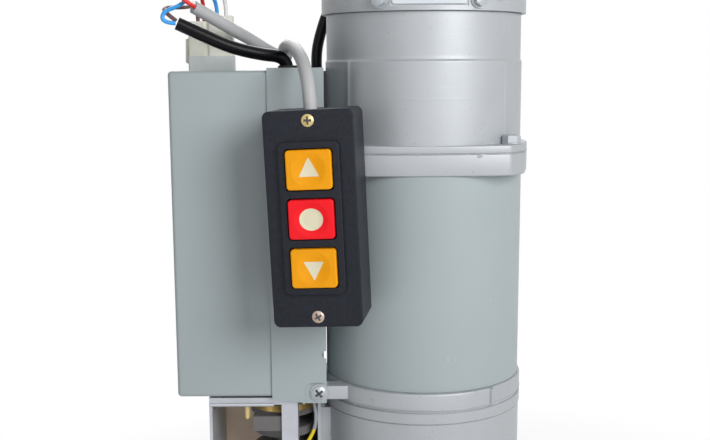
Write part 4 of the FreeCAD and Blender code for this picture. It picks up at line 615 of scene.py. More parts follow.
@dataclass(frozen=True)
class CastFinish(Finish):
    """Sand-cast aluminium with a silver lacquer: soft clouds, fine grain, pits and rub marks."""

    cloud_stretch: Point = (1, 1, 0.6)
    pit_scale: float = 420.0
    pit_noise: Span = (0.735, 0.77)
    pit_share: Span = (0, 0.7)
    pit_colour: Colour = (0.30, 0.30, 0.31)
    rub_scale: float = 30.0
    rub_stretch: Point = (1, 1, 40)
    rub_noise: Span = (0.66, 0.78)
    rub_share: Span = (0, 0.25)
    rub_gain: float = 1.3
    sand_ratio: float = 7.0
    sand_depth: float = 0.12

    def tone(self, sheet: FinishSheet) -> Socket:
        """Clouds of tone, a few dark pits and faint level rub marks."""
        pits = sheet.ranged(sheet.noise(self.pit_scale, detail=1), self.pit_noise, self.pit_share)
        clouds = self.clouds(sheet, detail=5, stretch=self.cloud_stretch)
        tone = sheet.blended(pits, clouds, self.pit_colour)
        noise = sheet.noise(self.rub_scale, detail=2, stretch=self.rub_stretch)
        rubs = sheet.ranged(noise, self.rub_noise, self.rub_share)
        return sheet.blended(rubs, tone, scaled(self.colour, self.rub_gain))

    def relief(self, sheet: FinishSheet) -> None:
        """The coarse grain of the sand over the fine one."""
        super().relief(sheet)
        sand = sheet.noise(self.grain_scale / self.sand_ratio, detail=3)
        sheet.bump(sand, self.sand_depth * MM, strength=0.25)


@dataclass(frozen=True)
class PaintFinish(Finish):
    """Sprayed paint on sheet or tube: orange peel, faint dust and a few rubbed specks."""

    dust_noise: Span = (0.3, 0.75)
    speck_scale: float = 260.0
    speck_stretch: Point = (1, 1, 0.5)
    speck_noise: Span = (0.745, 0.77)
    speck_share: Span = (0, 0.5)
    speck_colour: Colour = (0.55, 0.56, 0.55)
    peel_scale: float = 650.0
    peel_depth: float = 0.05

    def tone(self, sheet: FinishSheet) -> Socket:
        """Even colour with soft dust and rare pale specks."""
        noise = sheet.noise(self.speck_scale, detail=2, stretch=self.speck_stretch)
        dusty = self.clouds(sheet, detail=5, given=self.dust_noise)
        specks = sheet.ranged(noise, self.speck_noise, self.speck_share)
        return sheet.blended(specks, dusty, self.speck_colour)

    def relief(self, sheet: FinishSheet) -> None:
        """An orange-peel skin over the fine grain."""
        super().relief(sheet)
        sheet.bump(sheet.noise(self.peel_scale, detail=1), self.peel_depth * MM, strength=0.3)


@dataclass(frozen=True)
class TurnedFinish(Finish):
    """Bare or plated metal with fine marks left by turning or drawing."""

    gloss_swing: float = 0.06
    mark_axis: str = "Z"
    mark_scale: float = 900.0
    mark_depth: float = 0.02

    def relief(self, sheet: FinishSheet) -> None:
        """Fine marks across one axis."""
        marks = sheet.bands(self.mark_scale, self.mark_axis, wobble=2.0)
        self.gloss(sheet, marks, (0, 1))
        sheet.bump(marks, self.mark_depth * MM, strength=0.3)


@dataclass(frozen=True)
class WoundFinish(Finish):
    """Layers laid side by side, such as varnished wire or stacked sheets."""

    layer_scale: float = 400.0
    layer_axis: str = "Z"
    layer_depth: float = 0.2
    layer_gain: float = 1.15
    line_gain: float = 0.5

    def layers(self, sheet: FinishSheet) -> Socket:
        """The layers as bands that waver a little."""
        return sheet.bands(self.layer_scale, self.layer_axis, wobble=0.6)

    def tone(self, sheet: FinishSheet) -> Socket:
        """Dark lines between the layers."""
        dark, light = scaled(self.colour, self.line_gain), scaled(self.colour, self.layer_gain)
        return sheet.blended(self.layers(sheet), dark, light)

    def relief(self, sheet: FinishSheet) -> None:
        """Raised layers under the fine grain."""
        sheet.bump(self.layers(sheet), self.layer_depth * MM, strength=0.6)
        super().relief(sheet)


@dataclass(frozen=True)
class TwoToneFinish(Finish):
    """A finish that changes to a second colour beyond a place along one axis."""

    second: Colour = (0.5, 0.5, 0.5)
    axis: str = "Z"
    border: float = 0.0
    border_half: float = 0.1 * MM

    def tone(self, sheet: FinishSheet) -> Socket:
        """The cloudy colour before the border and the second colour beyond it."""
        given = (self.border - self.border_half, self.border + self.border_half)
        return sheet.blended(sheet.ranged(sheet.along(self.axis), given), self.clouds(sheet), self.second)


SILVER = CastFinish("cast_silver", (0.415, 0.436, 0.458), 0.45, 0.24, uneven=0.05, uneven_scale=26,
                    grain_scale=2200)
PLATE_SILVER = replace(SILVER, name="plate_silver", colour=(0.56, 0.60, 0.64), metallic=0.2, uneven=0.04)
GREY_PAINT = PaintFinish("grey_paint", (0.36, 0.41, 0.425), 0.44, specular=0.4, uneven=0.03,
                         uneven_scale=14)
ZINC = TurnedFinish("bright_zinc", (0.44, 0.47, 0.50), 0.36, 0.4, mark_scale=1500)
YELLOW_ZINC = replace(ZINC, name="yellow_zinc", colour=(0.66, 0.52, 0.24))
PINK_ZINC = replace(ZINC, name="pink_zinc", colour=(0.50, 0.39, 0.33))
STEEL = TurnedFinish("machined_steel", (0.46, 0.46, 0.48), 0.36, 0.8)
FRAME_STEEL = Finish("frame_steel", (0.50, 0.52, 0.56), 0.40, 0.45, uneven=0.10, uneven_scale=45)
BACK_STEEL = TwoToneFinish("back_steel", (0.78, 0.61, 0.46), 0.5, 0.2, uneven=0.18, uneven_scale=35,
                           second=(0.46, 0.48, 0.51), axis="Y", border=27.4 * MM)
BRASS = TurnedFinish("brass_ring", (0.70, 0.48, 0.15), 0.35, 0.8)
LAMINATION = WoundFinish("lamination", (0.30, 0.30, 0.32), 0.5, 0.6, layer_scale=320)
COPPER = WoundFinish("copper_winding", (0.55, 0.25, 0.12), 0.4, 0.8, layer_scale=260, layer_axis="X")
MAGNET = Finish("magnet_body", (0.10, 0.10, 0.11), 0.5, 0.6)
LINING = Finish("brake_lining", (0.10, 0.09, 0.08), 0.85, uneven=0.3, uneven_scale=500, grain_scale=900,
                grain_depth=0.2)
CAST_IRON = CastFinish("chain_wheel_paint", (0.28, 0.29, 0.31), 0.5, 0.1, uneven=0.1, uneven_scale=60)
RUBBER = Finish("seal_rubber", (0.012, 0.012, 0.013), 0.55, specular=0.25, grain_scale=1200)
LIMIT_GREY = Finish("limit_grey", (0.20, 0.19, 0.19), 0.5, specular=0.35, uneven=0.12)
LIMIT_THREAD = WoundFinish("limit_thread", (0.12, 0.115, 0.11), 0.42, 0.4, layer_scale=157)
SWITCH_GREY = WoundFinish("switch_grey", (0.19, 0.18, 0.18), 0.5, specular=0.3, layer_scale=520,
                          layer_axis="X")
BLACK_PLASTIC = Finish("switch_plastic", (0.022, 0.022, 0.026), 0.45, specular=0.3)
WHITE_CAN = Finish("capacitor_can", (0.75, 0.75, 0.72), 0.4)
NYLON = Finish("nylon", (0.80, 0.80, 0.71), 0.40, uneven=0.05, uneven_scale=120, grain_depth=0.02)
SOCKET_NYLON = replace(NYLON, name="socket_nylon", colour=(0.64, 0.68, 0.68))
STATION = Finish("station_black", (0.0105, 0.0126, 0.0195), 0.46, specular=0.21, uneven=0.25,
                 uneven_scale=420, grain_scale=1500, grain_depth=0.12)
ORANGE = Finish("button_orange", (0.86, 0.345, 0.002), 0.42, specular=0.2, uneven=0.02, grain_depth=0.01)
RED = replace(ORANGE, name="button_red", colour=(0.90, 0.009, 0.017))
CREAM = replace(ORANGE, name="symbol_cream", colour=(0.74, 0.69, 0.50), specular=0.3)
BLACK_SHEATH = Finish("cable_black", (0.003, 0.003, 0.0045), 0.32, specular=0.14, uneven=0.2,
                      grain_depth=0.02)
GREY_SHEATH = Finish("cable_grey", (0.47, 0.475, 0.48), 0.48, specular=0.35, uneven=0.04, grain_depth=0.02)
LIMIT_LEAD = TwoToneFinish("limit_lead", (0.80, 0.60, 0.01), 0.45, uneven=0, grain_depth=0.02,
                           second=(0.30, 0.31, 0.33), border=58.5 * MM)
BLUE_CORE = Finish("core_blue", (0.04, 0.34, 0.82), 0.38)
BROWN_CORE = Finish("core_brown", (0.14, 0.075, 0.07), 0.42)
RED_CORE = Finish("core_red", (0.70, 0.012, 0.012), 0.40)
WHITE_CORE = Finish("core_white", (0.80, 0.80, 0.80), 0.40)

FINISH_OF_SLOT = {
    finish.name: finish for finish in (
        SILVER, GREY_PAINT, ZINC, STEEL, FRAME_STEEL, LAMINATION, COPPER, MAGNET, LINING, CAST_IRON, RUBBER,
        LIMIT_GREY, BLACK_PLASTIC, WHITE_CAN, NYLON, STATION, ORANGE, RED, BLACK_SHEATH, GREY_SHEATH,
        BLUE_CORE, BROWN_CORE, RED_CORE, WHITE_CORE)
}
FINISH_OF_NODE = {"recess_plate": PLATE_SILVER, "box_socket": SOCKET_NYLON, "limit_switches": SWITCH_GREY,
                  "limit_screw": LIMIT_THREAD}


# Putting pieces into the scene

class Workshop:
    """Adds pieces to the scene and ties each to its body and solid."""

    smooth_limit = math.radians(32)
    flat_limit = math.radians(0.8)
    weld_distance = 0.002 * MM

    def __init__(self, frame: dict) -> None:
        """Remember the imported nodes, their bodies and their material slots."""
        self.nodes = frame["nodes"]
        record = frame["record"]
        bodies = record["behaviour"]["bodies"]
        self.body_of = {node: body for body, nodes in bodies.items() for node in nodes}
        self.slot_of = {part["node"]: part["material_slot"] for part in record["subparts"]}
        self.dressed: set[str] = set()

    def finish_of(self, node: str) -> Finish:
        """A solid's own finish, or the finish of its slot."""
        return FINISH_OF_NODE.get(node, FINISH_OF_SLOT[self.slot_of[node]])

    def add(self, name: str, surface: Surface, finish: Finish, node: str, stands_in: bool = True) -> None:
        """Put a worked-out surface into the scene.

        Args:
            name: Name of the piece.
            surface: Its points and faces.
            finish: Its finish.
            node: The solid that it stands for or sits on.
            stands_in: True where it stands for that solid.
        """
        mesh = bpy.data.meshes.new(name)
        mesh.from_pydata(surface.points.tolist(), [], surface.faces)
        self.smooth(mesh)
        self.enter(name, mesh, finish, node, stands_in)

    def trim(self, name: str, surface: Surface, finish: Finish, node: str) -> None:
        """Put a surface into the scene that sits on a solid and leaves it showing."""
        self.add(name, surface, finish, node, stands_in=False)

    def smooth(self, mesh: bpy.types.Mesh) -> None:
        """Shade a mesh smoothly between its sharp edges."""
        mesh.shade_smooth()
        mesh.set_sharp_from_angle(angle=self.smooth_limit)

    def enter(self, name: str, data: bpy.types.ID, finish: Finish, node: str,
              stands_in: bool = True) -> bpy.types.Object:
        """Link mesh or curve data as a piece that rides with a solid's body.

        Args:
            name: Name of the piece.
            data: The mesh or curve.
            finish: Its finish.
            node: The solid that it stands for or sits on.
            stands_in: True where it stands for that solid.

        Returns:
            The new object.
        """
        piece = bpy.data.objects.new(name, data)
        bpy.context.scene.collection.objects.link(piece)
        data.materials.clear()
        data.materials.append(finish.material())
        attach(piece, self.body_of[node])
        if stands_in:
            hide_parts(node)
            self.dressed.add(node)
        LOG.info("piece %s on %s", name, self.body_of[node])
        return piece

    def soften(self, edges: dict[str, float]) -> None:
        """Stand in for solids by their own welded meshes with rounded edges.

        Args:
            edges: Width of the rounding for each solid, in millimetres.
        """
        for node, edge in edges.items():
            piece = self.enter(node + "_body", self.welded(node), self.finish_of(node), node)
            rounding = piece.modifiers.new("rounded_edges", "BEVEL")
            rounding.width = edge * MM
            rounding.segments = 2
            rounding.limit_method = "ANGLE"
            rounding.angle_limit = self.smooth_limit
            rounding.use_clamp_overlap = True
            rounding.harden_normals = True

    def welded(self, node: str) -> bpy.types.Mesh:
        """A copy of a solid's mesh with its doubles merged and its flat faces whole."""
        mesh = self.nodes[node].data.copy()
        for layer in [item for item in mesh.attributes if item.name == "custom_normal"]:
            mesh.attributes.remove(layer)
        work = bmesh.new()
        work.from_mesh(mesh)
        bmesh.ops.remove_doubles(work, verts=work.verts, dist=self.weld_distance)
        bmesh.ops.dissolve_limit(work, angle_limit=self.flat_limit, verts=work.verts, edges=work.edges)
        work.to_mesh(mesh)
        work.free()
        self.smooth(mesh)
        return mesh

    def keep_rest(self) -> None:
        """Give every solid that stays as it is its finish."""
        for node, solid in self.nodes.items():
            if node in self.dressed:
                continue
            for slot in solid.material_slots:
                slot.material = self.finish_of(node).material()
            LOG.info("solid %s keeps its shape", node)


# The motor column

@dataclass
class MotorColumn:
    """Tube, end shields, brake housing, top cover and their bolts, on the motor axis."""

    shop: Workshop
    steps: int = 540
    tube_wall: float = 4 * MM
    tube_edge: float = 0.4 * MM
    shield_radius: float = 66.5 * MM
    shield_edge: float = 1.1 * MM
    shield_foot: float = 0.3 * MM
    panel_proud: float = 1.5 * MM
    panel_middle: float = math.radians(-97)
    panel_half: float = math.radians(45)
    rib_middle: float = math.radians(-52)
    rib_half: float = math.radians(1.8)
    rib_proud: float = 1.9 * MM
    lug_end: float = -50 * MM
    lug_corner: float = 1.5 * MM
    lug_edge: float = 0.6 * MM
    lower_lug_y: Span = (-47.65 * MM, -35.5 * MM)
    lower_lug_z: Span = (83.4 * MM, 92.4 * MM)
    upper_lug_y: Span = (-50 * MM, -34 * MM)
    upper_lug_z: Span = (231 * MM, 241 * MM)
    flash_size: float = 0.42 * MM
    flash_base: float = 0.45
    flash_swing: float = 0.4
    flash_drift: float = 0.25
    flash_proud: float = 0.05 * MM
    flash_lift: float = 0.1 * MM
    rim_inner: float = 50 * MM
    rim_edge: float = 0.6 * MM
    ledge_edge: float = 0.5 * MM
    groove_depth: float = 1.1 * MM
    groove_height: float = 2.6 * MM
    groove_slope: float = 0.1 * MM
    flange_front_half: float = 51 * MM
    flange_chamfer: Span = (61 * MM, 46 * MM)
    flange_flat_half: float = 20 * MM
    flange_bow: float = 5 * MM
    flange_corner: float = 5 * MM
    shield_rim: float = 1.0 * MM
    collar_height: float = 5.1 * MM
    collar_rim: float = 0.9 * MM
    drum_radius: float = 63.3 * MM
    drum_foot: float = 1 * MM
    drum_step: float = 0.8 * MM
    drum_step_lead: Span = (2.2 * MM, 1.6 * MM)
    drum_slope_start: float = 1.2 * MM
    drum_slope: float = 1.9 * MM
    drum_slope_end: float = 3 * MM
    drum_rim: Span = (0.5 * MM, 0.6 * MM)
    drum_panel: float = 0.55 * MM
    drum_panel_half: float = math.radians(50)
    drum_panel_height: float = 51.7 * MM
    drum_bead: float = 0.9 * MM
    drum_line: float = 33.3 * MM
    drum_line_half: Span = (1 * MM, 0.5 * MM)
    drum_line_proud: float = 0.06 * MM
    chip_spot: Point = (31 * MM, 1.9 * MM, -1.2 * MM)
    chip_size: Point = (2.6 * MM, 1.2 * MM, 1.1 * MM)
    chip_turn: float = -0.35
    chip_ragged: float = 0.2
    flange_bolt: BoltSize = (10 * MM, 4.6 * MM, 6.2 * MM, 1 * MM)
    flange_bolt_y: float = 46.5 * MM
    flange_bolt_turn: float = 0.35
    cover_bolt: BoltSize = (8 * MM, 3.6 * MM, 5.6 * MM, 0.8 * MM)
    cover_bolt_angles: tuple[float, ...] = (-116.5, -63.5, 63.5, 116.5)
    cover_bolt_lift: float = 6.5 * MM
    cover_bolt_gap: float = 0.1 * MM

    def build(self) -> None:
        """Build every piece of the column from the bottom up."""
        self.tube()
        self.lower_shield()
        self.rim()
        self.upper_shield()
        self.brake_drum()
        self.flange_bolts()
        self.cover_bolts()
        self.shop.soften({"gear_case": 0.9, "top_cover": 0.6, "recess_plate": 0.25, "chain_wheel": 0.5,
                          "chain_wheel_shaft": 0.4, "drive_sprocket": 0.3, "output_shaft": 0.3})

    def tube(self) -> None:
        """The painted motor tube with broken rims."""
        low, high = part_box("motor_tube")
        outer, inner, edge = high.x, high.x - self.tube_wall, self.tube_edge
        rows = [(inner, low.z), (outer - edge, low.z), (outer, low.z + edge), (outer, high.z - edge),
                (outer - edge, high.z), (inner, high.z)]
        self.shop.add("painted_tube", Surface.spun(rows, self.steps), GREY_PAINT, "motor_tube")

    def lug(self, node: str, across: Span, height: Span) -> Surface:
        """The lug of a shield that carries the box: a block from the solid's left side to the casting."""
        low = Vector((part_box(node)[0].x, across[0], height[0]))
        high = Vector((self.lug_end, across[1], height[1]))
        return Surface.block(low, high, self.lug_corner, self.lug_edge)

    def swell(self, count: int, waves: int, seed: int) -> np.ndarray:
        """Radius of a rough bead's own section at each step."""
        return self.flash_size * (self.flash_base + self.flash_swing * np.abs(wander(count, waves, seed)))

    def lower_shield(self) -> None:
        """The lower end shield: a ring with a raised front panel, a rib, a lug and a rough parting line.

        The radius is the ring's, plus the panel within its opening angle, plus the rib. The parting
        line is a bead whose small section swells and shrinks, and whose height wanders.
        """
        node = "lower_end_shield"
        foot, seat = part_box(node)[0].z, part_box("motor_tube")[0].z
        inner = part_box("motor_tube")[1].x - self.tube_wall
        angle = full_turn(self.steps)
        panel = window(angle, self.panel_middle, self.panel_half, soft=0.02)
        rib = window(angle, self.rib_middle, self.rib_half, soft=0.012)
        rim = self.shield_radius + self.panel_proud * panel + self.rib_proud * rib
        turn = quarter(6)[:, None]
        edge = zip(rim - self.shield_edge * (1 - np.cos(turn)), seat - self.shield_edge * (1 - np.sin(turn)))
        start = [(inner, foot), (rim - self.shield_foot, foot), (rim, foot + self.shield_foot)]
        ring = Surface.spun([*start, *edge, (inner, seat)], self.steps)
        lug = self.lug(node, self.lower_lug_y, self.lower_lug_z)
        self.shop.add("lower_shield_casting", ring + lug, SILVER, node)

        swell = self.swell(self.steps, waves=140, seed=11)
        drift = self.flash_drift * self.flash_size * wander(self.steps, waves=60, seed=12)
        wide, tall = rim + self.flash_proud, foot + self.flash_lift + drift
        turn = full_turn(8)[:, None]
        bead = zip(wide + swell * np.cos(turn), tall + swell * np.sin(turn))
        self.shop.trim("lower_shield_flash", Surface.spun(bead, self.steps), SILVER, node)

    def rim(self) -> None:
        """The rim of the gear plate between the gear case and the lower shield."""
        low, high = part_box("gear_case")[1].z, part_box("lower_end_shield")[0].z
        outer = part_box("gear_plate")[1].x
        groove, ledge = outer - self.groove_depth, high - self.groove_height
        rows = [(self.rim_inner, low), (outer - self.rim_edge, low), (outer, low + self.rim_edge),
                (outer, ledge - self.ledge_edge), (outer - self.ledge_edge, ledge),
                (groove, ledge + self.groove_slope), (groove, high), (self.rim_inner, high)]
        self.shop.add("gear_plate_rim", Surface.spun(rows, self.steps), SILVER, "gear_plate")

    def flange_outline(self) -> np.ndarray:
        """The cast flange: straight sides, cut corners, and a front and back that bow out a little.

        The bow falls with the square of the distance from the middle.
        """
        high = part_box("brake_housing")[1]
        across = np.linspace(1, -1, 41)
        bowed = np.stack([across * self.flange_front_half, high.y - self.flange_bow * across ** 2], axis=1)
        corner = np.array([(high.x, self.flange_flat_half), self.flange_chamfer])
        upper = np.concatenate([corner, bowed, corner[::-1] * (-1, 1)])
        return rounded(np.concatenate([upper, -upper]), self.flange_corner, steps=10)

    def upper_shield(self) -> None:
        """The upper end shield with its lug, and a rough bead and a chip of flash at its joint.

        The bead is a small circle that swells and shrinks as it is carried along the outline.
        """
        node, outline = "upper_end_shield", self.flange_outline()
        seat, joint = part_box("motor_tube")[1].z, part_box("brake_housing")[0].z
        shield = Surface.prism(outline, seat, joint, self.shield_rim)
        lug = self.lug(node, self.upper_lug_y, self.upper_lug_z)
        self.shop.add("upper_shield_casting", shield + lug, SILVER, node)

        swell = self.swell(len(outline), waves=40, seed=5)
        turn = full_turn(8)[:, None]
        bead = rings_of(outline, -swell * np.cos(turn), joint + swell * np.sin(turn))
        flash = Surface.from_rings(bead, closed=True) + self.chip()
        self.shop.trim("flange_flash", flash, SILVER, node)

    def chip(self) -> Surface:
        """A flake of flash on the flange's front: a flat lens whose edge wanders."""
        steps, rings = 40, 8
        angle = full_turn(steps)
        share = np.linspace(INNERMOST, 1, rings)
        share = np.concatenate([share, np.linspace(1, INNERMOST, rings)])[:, None]
        out = np.repeat([-0.5, 0.5], rings)[:, None] * (1 - share ** 2)
        edge = share * (1 + self.chip_ragged * wander(steps, waves=5, seed=21))
        lens = np.broadcast_arrays(edge * np.cos(angle), out, edge * np.sin(angle))
        grid = np.stack(lens, axis=-1) * self.chip_size
        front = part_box("brake_housing")[0]
        place = Matrix.Translation(Vector(self.chip_spot) + Vector((0, front.y, front.z)))
        return Surface.from_rings(grid).moved(place @ turned(self.chip_turn, "Y"))

    def brake_drum(self) -> None:
        """The brake housing: its flange, and a drum with raised panels, a thin line and a step.

        The drum's radius steps in above its panels, by an S-shaped slope. Front and back panels add a
        little more, with a bead along their upright edges.
        """
        joint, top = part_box("brake_housing")[0].z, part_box("top_cover")[0].z
        seat = joint + self.collar_height
        collar = Surface.prism(self.flange_outline(), joint, seat, self.collar_rim)
        angle = full_turn(self.steps)
        sides = (-math.pi / 2, math.pi / 2)
        panels = sum(window(angle, side, self.drum_panel_half, soft=0.012) for side in sides)
        flank = (np.abs(np.gradient(panels)) > 1e-6).astype(float)
        bead = np.convolve(np.tile(flank, 3), np.hanning(9) / 4, mode="same")[self.steps:-self.steps]
        proud = self.drum_panel * panels + self.drum_bead * np.clip(bead, 0, 1)
        narrow = np.full_like(angle, self.drum_radius)
        wide = narrow + self.drum_step + proud
        line, step = joint + self.drum_line, seat + self.drum_panel_height
        far, near = self.drum_line_half
        rows = [(wide, joint + self.drum_foot), (wide, seat), (wide, line - far), (wide, line - near),
                (wide + self.drum_line_proud, line), (wide, line + near), (wide, line + far)]
        rows += [(wide, step - lead) for lead in self.drum_step_lead]
        share = np.linspace(0, 1, 7)[:, None]
        slope = wide * (1 - eased(share)) + narrow * eased(share)
        rows += zip(slope, step - self.drum_slope_start + self.drum_slope * share)
        inset, drop = self.drum_rim
        rows += [(narrow, step + self.drum_slope_end), (narrow, top - drop), (narrow - inset, top)]
        drum = Surface.spun(rows, self.steps, closed=False)
        self.shop.add("brake_casting", collar + drum, SILVER, "brake_housing")

    def flange_bolts(self) -> None:
        """Four hexagon bolts with washers on the brake flange, each turned a little further."""
        low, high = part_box("upper_flange_bolts")
        reach = self.flange_bolt[0] / math.sqrt(3)
        left, right, y = low.x + reach, high.x - reach, self.flange_bolt_y
        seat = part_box("brake_housing")[0].z + self.collar_height
        spots = ((right, y, seat), (left, y, seat), (left, -y, seat), (right, -y, seat))
        heads = bolt(*self.flange_bolt).copies(
            Matrix.Translation(spot) @ turned(self.flange_bolt_turn * count, "Z")
            for count, spot in enumerate(spots))
        self.shop.add("flange_bolt_heads", heads, ZINC, "upper_flange_bolts")

    def cover_bolts(self) -> None:
        """Four radial bolts with washers in the skirt of the top cover."""
        low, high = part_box("top_cover")
        spot = (high.x + self.cover_bolt_gap, 0, low.z + self.cover_bolt_lift)
        seat = Matrix.Translation(spot) @ turned(math.pi / 2, "Y")
        heads = bolt(*self.cover_bolt).copies(
            turned(math.radians(angle), "Z") @ seat for angle in self.cover_bolt_angles)
        self.shop.add("cover_bolt_heads", heads, ZINC, "top_cover_bolts")


# Control box with its plug

@dataclass
class ControlBox:
    """Folded sheet-metal box beside the motor, with its screws, plug and grommets."""

    shop: Workshop
    bend: float = 2.6 * MM
    sheet: float = 1.5 * MM
    rim: float = 1.0 * MM
    screw_radius: float = 4.7 * MM
    screw_crown: float = 2.9 * MM
    washer_bore: float = 1 * MM
    washer_radius: float = 5.9 * MM
    washer_thick: float = 0.7 * MM
    screw_seats: Span = (2.2 * MM, -0.3 * MM)
    screw_turns: Span = (math.radians(38), math.radians(58))
    strip_foot: float = 236 * MM
    strip_low: Point = (-0.6 * MM, 1.6 * MM, 0)
    strip_high: Point = (1.6 * MM, 6 * MM, -2 * MM)

    def build(self) -> None:
        """Build the box and what is on it."""
        self.cover()
        self.screws()
        self.dark_strip()
        self.shop.soften({"control_box_base": 0.35, "box_socket": 0.5, "cable_plug": 0.5,
                          "lead_grommets": 0.3})

    def cover(self) -> None:
        """The folded cover: a tray with rounded bends that opens towards the motor.

        Rings of one rounded rectangle run along X: round the closed end, along the outside, over
        the rim and back along the inside.
        """
        low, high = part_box("control_box_cover")
        outline = rectangle(high.y - low.y, high.z - low.z, self.bend)
        outline += np.array([(low.y + high.y) / 2, (low.z + high.z) / 2])
        sine, cosine = np.sin(quarter(6)), np.cos(quarter(6))
        depth = np.concatenate([self.bend * (1 - sine), self.rim * (1 - cosine),
                                [self.sheet, self.sheet, self.bend]])
        along = np.concatenate([low.x + self.bend * (1 - cosine), high.x - self.rim * (1 - sine),
                                [high.x, low.x + self.bend + self.sheet, low.x + self.sheet]])
        grid = np.roll(rings_of(outline, depth, along), 1, axis=-1)
        self.shop.add("folded_cover", Surface.from_rings(grid), GREY_PAINT, "control_box_cover")

    def screws(self) -> None:
        """Two cross-head screws with washers in the front panel, with painted shade in their recesses."""
        low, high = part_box("panel_screws")
        x, radius = (low.x + high.x) / 2, (high.x - low.x) / 2
        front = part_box("control_box_base")[0].y
        heights = (low.z + radius, high.z - radius)
        places = [Matrix.Translation((x, front + seat, z)) @ FRONTWARDS @ turned(turn, "Z")
                  for z, seat, turn in zip(heights, self.screw_seats, self.screw_turns)]
        lift = self.washer_thick - HEAD_SUNK
        head = cross_head(self.screw_radius, self.screw_crown).lifted(lift)
        head = washer(self.washer_bore, self.washer_radius, self.washer_thick) + head
        recess_shade = cross_recess_shade(self.screw_radius, self.screw_crown).lifted(lift)
        self.shop.add("panel_screw_heads", head.copies(places), ZINC, "panel_screws")
        # Dark bars in the cross recesses: painted shade.
        self.shop.trim("panel_screw_recess_shade", recess_shade.copies(places), MAGNET, "panel_screws")

    def dark_strip(self) -> None:
        """A dark rubber-finished strip on the panel's upper motor-side edge."""
        low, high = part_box("control_box_base")
        start = Vector((high.x, low.y, self.strip_foot)) + Vector(self.strip_low)
        end = Vector((high.x, low.y, high.z)) + Vector(self.strip_high)
        dark_strip = Surface.block(start, end, corner=0.6 * MM, edge=0.5 * MM)
        # A black strip that darkens the edge where the panel meets the motor.
        self.shop.trim("panel_dark_strip", dark_strip, RUBBER, "control_box_base")


# Push-button station

class Symbol(Enum):
    """What a key shows, valued by how many keys it is above the middle one."""

    UP = 1
    STOP = 0
    DOWN = -1


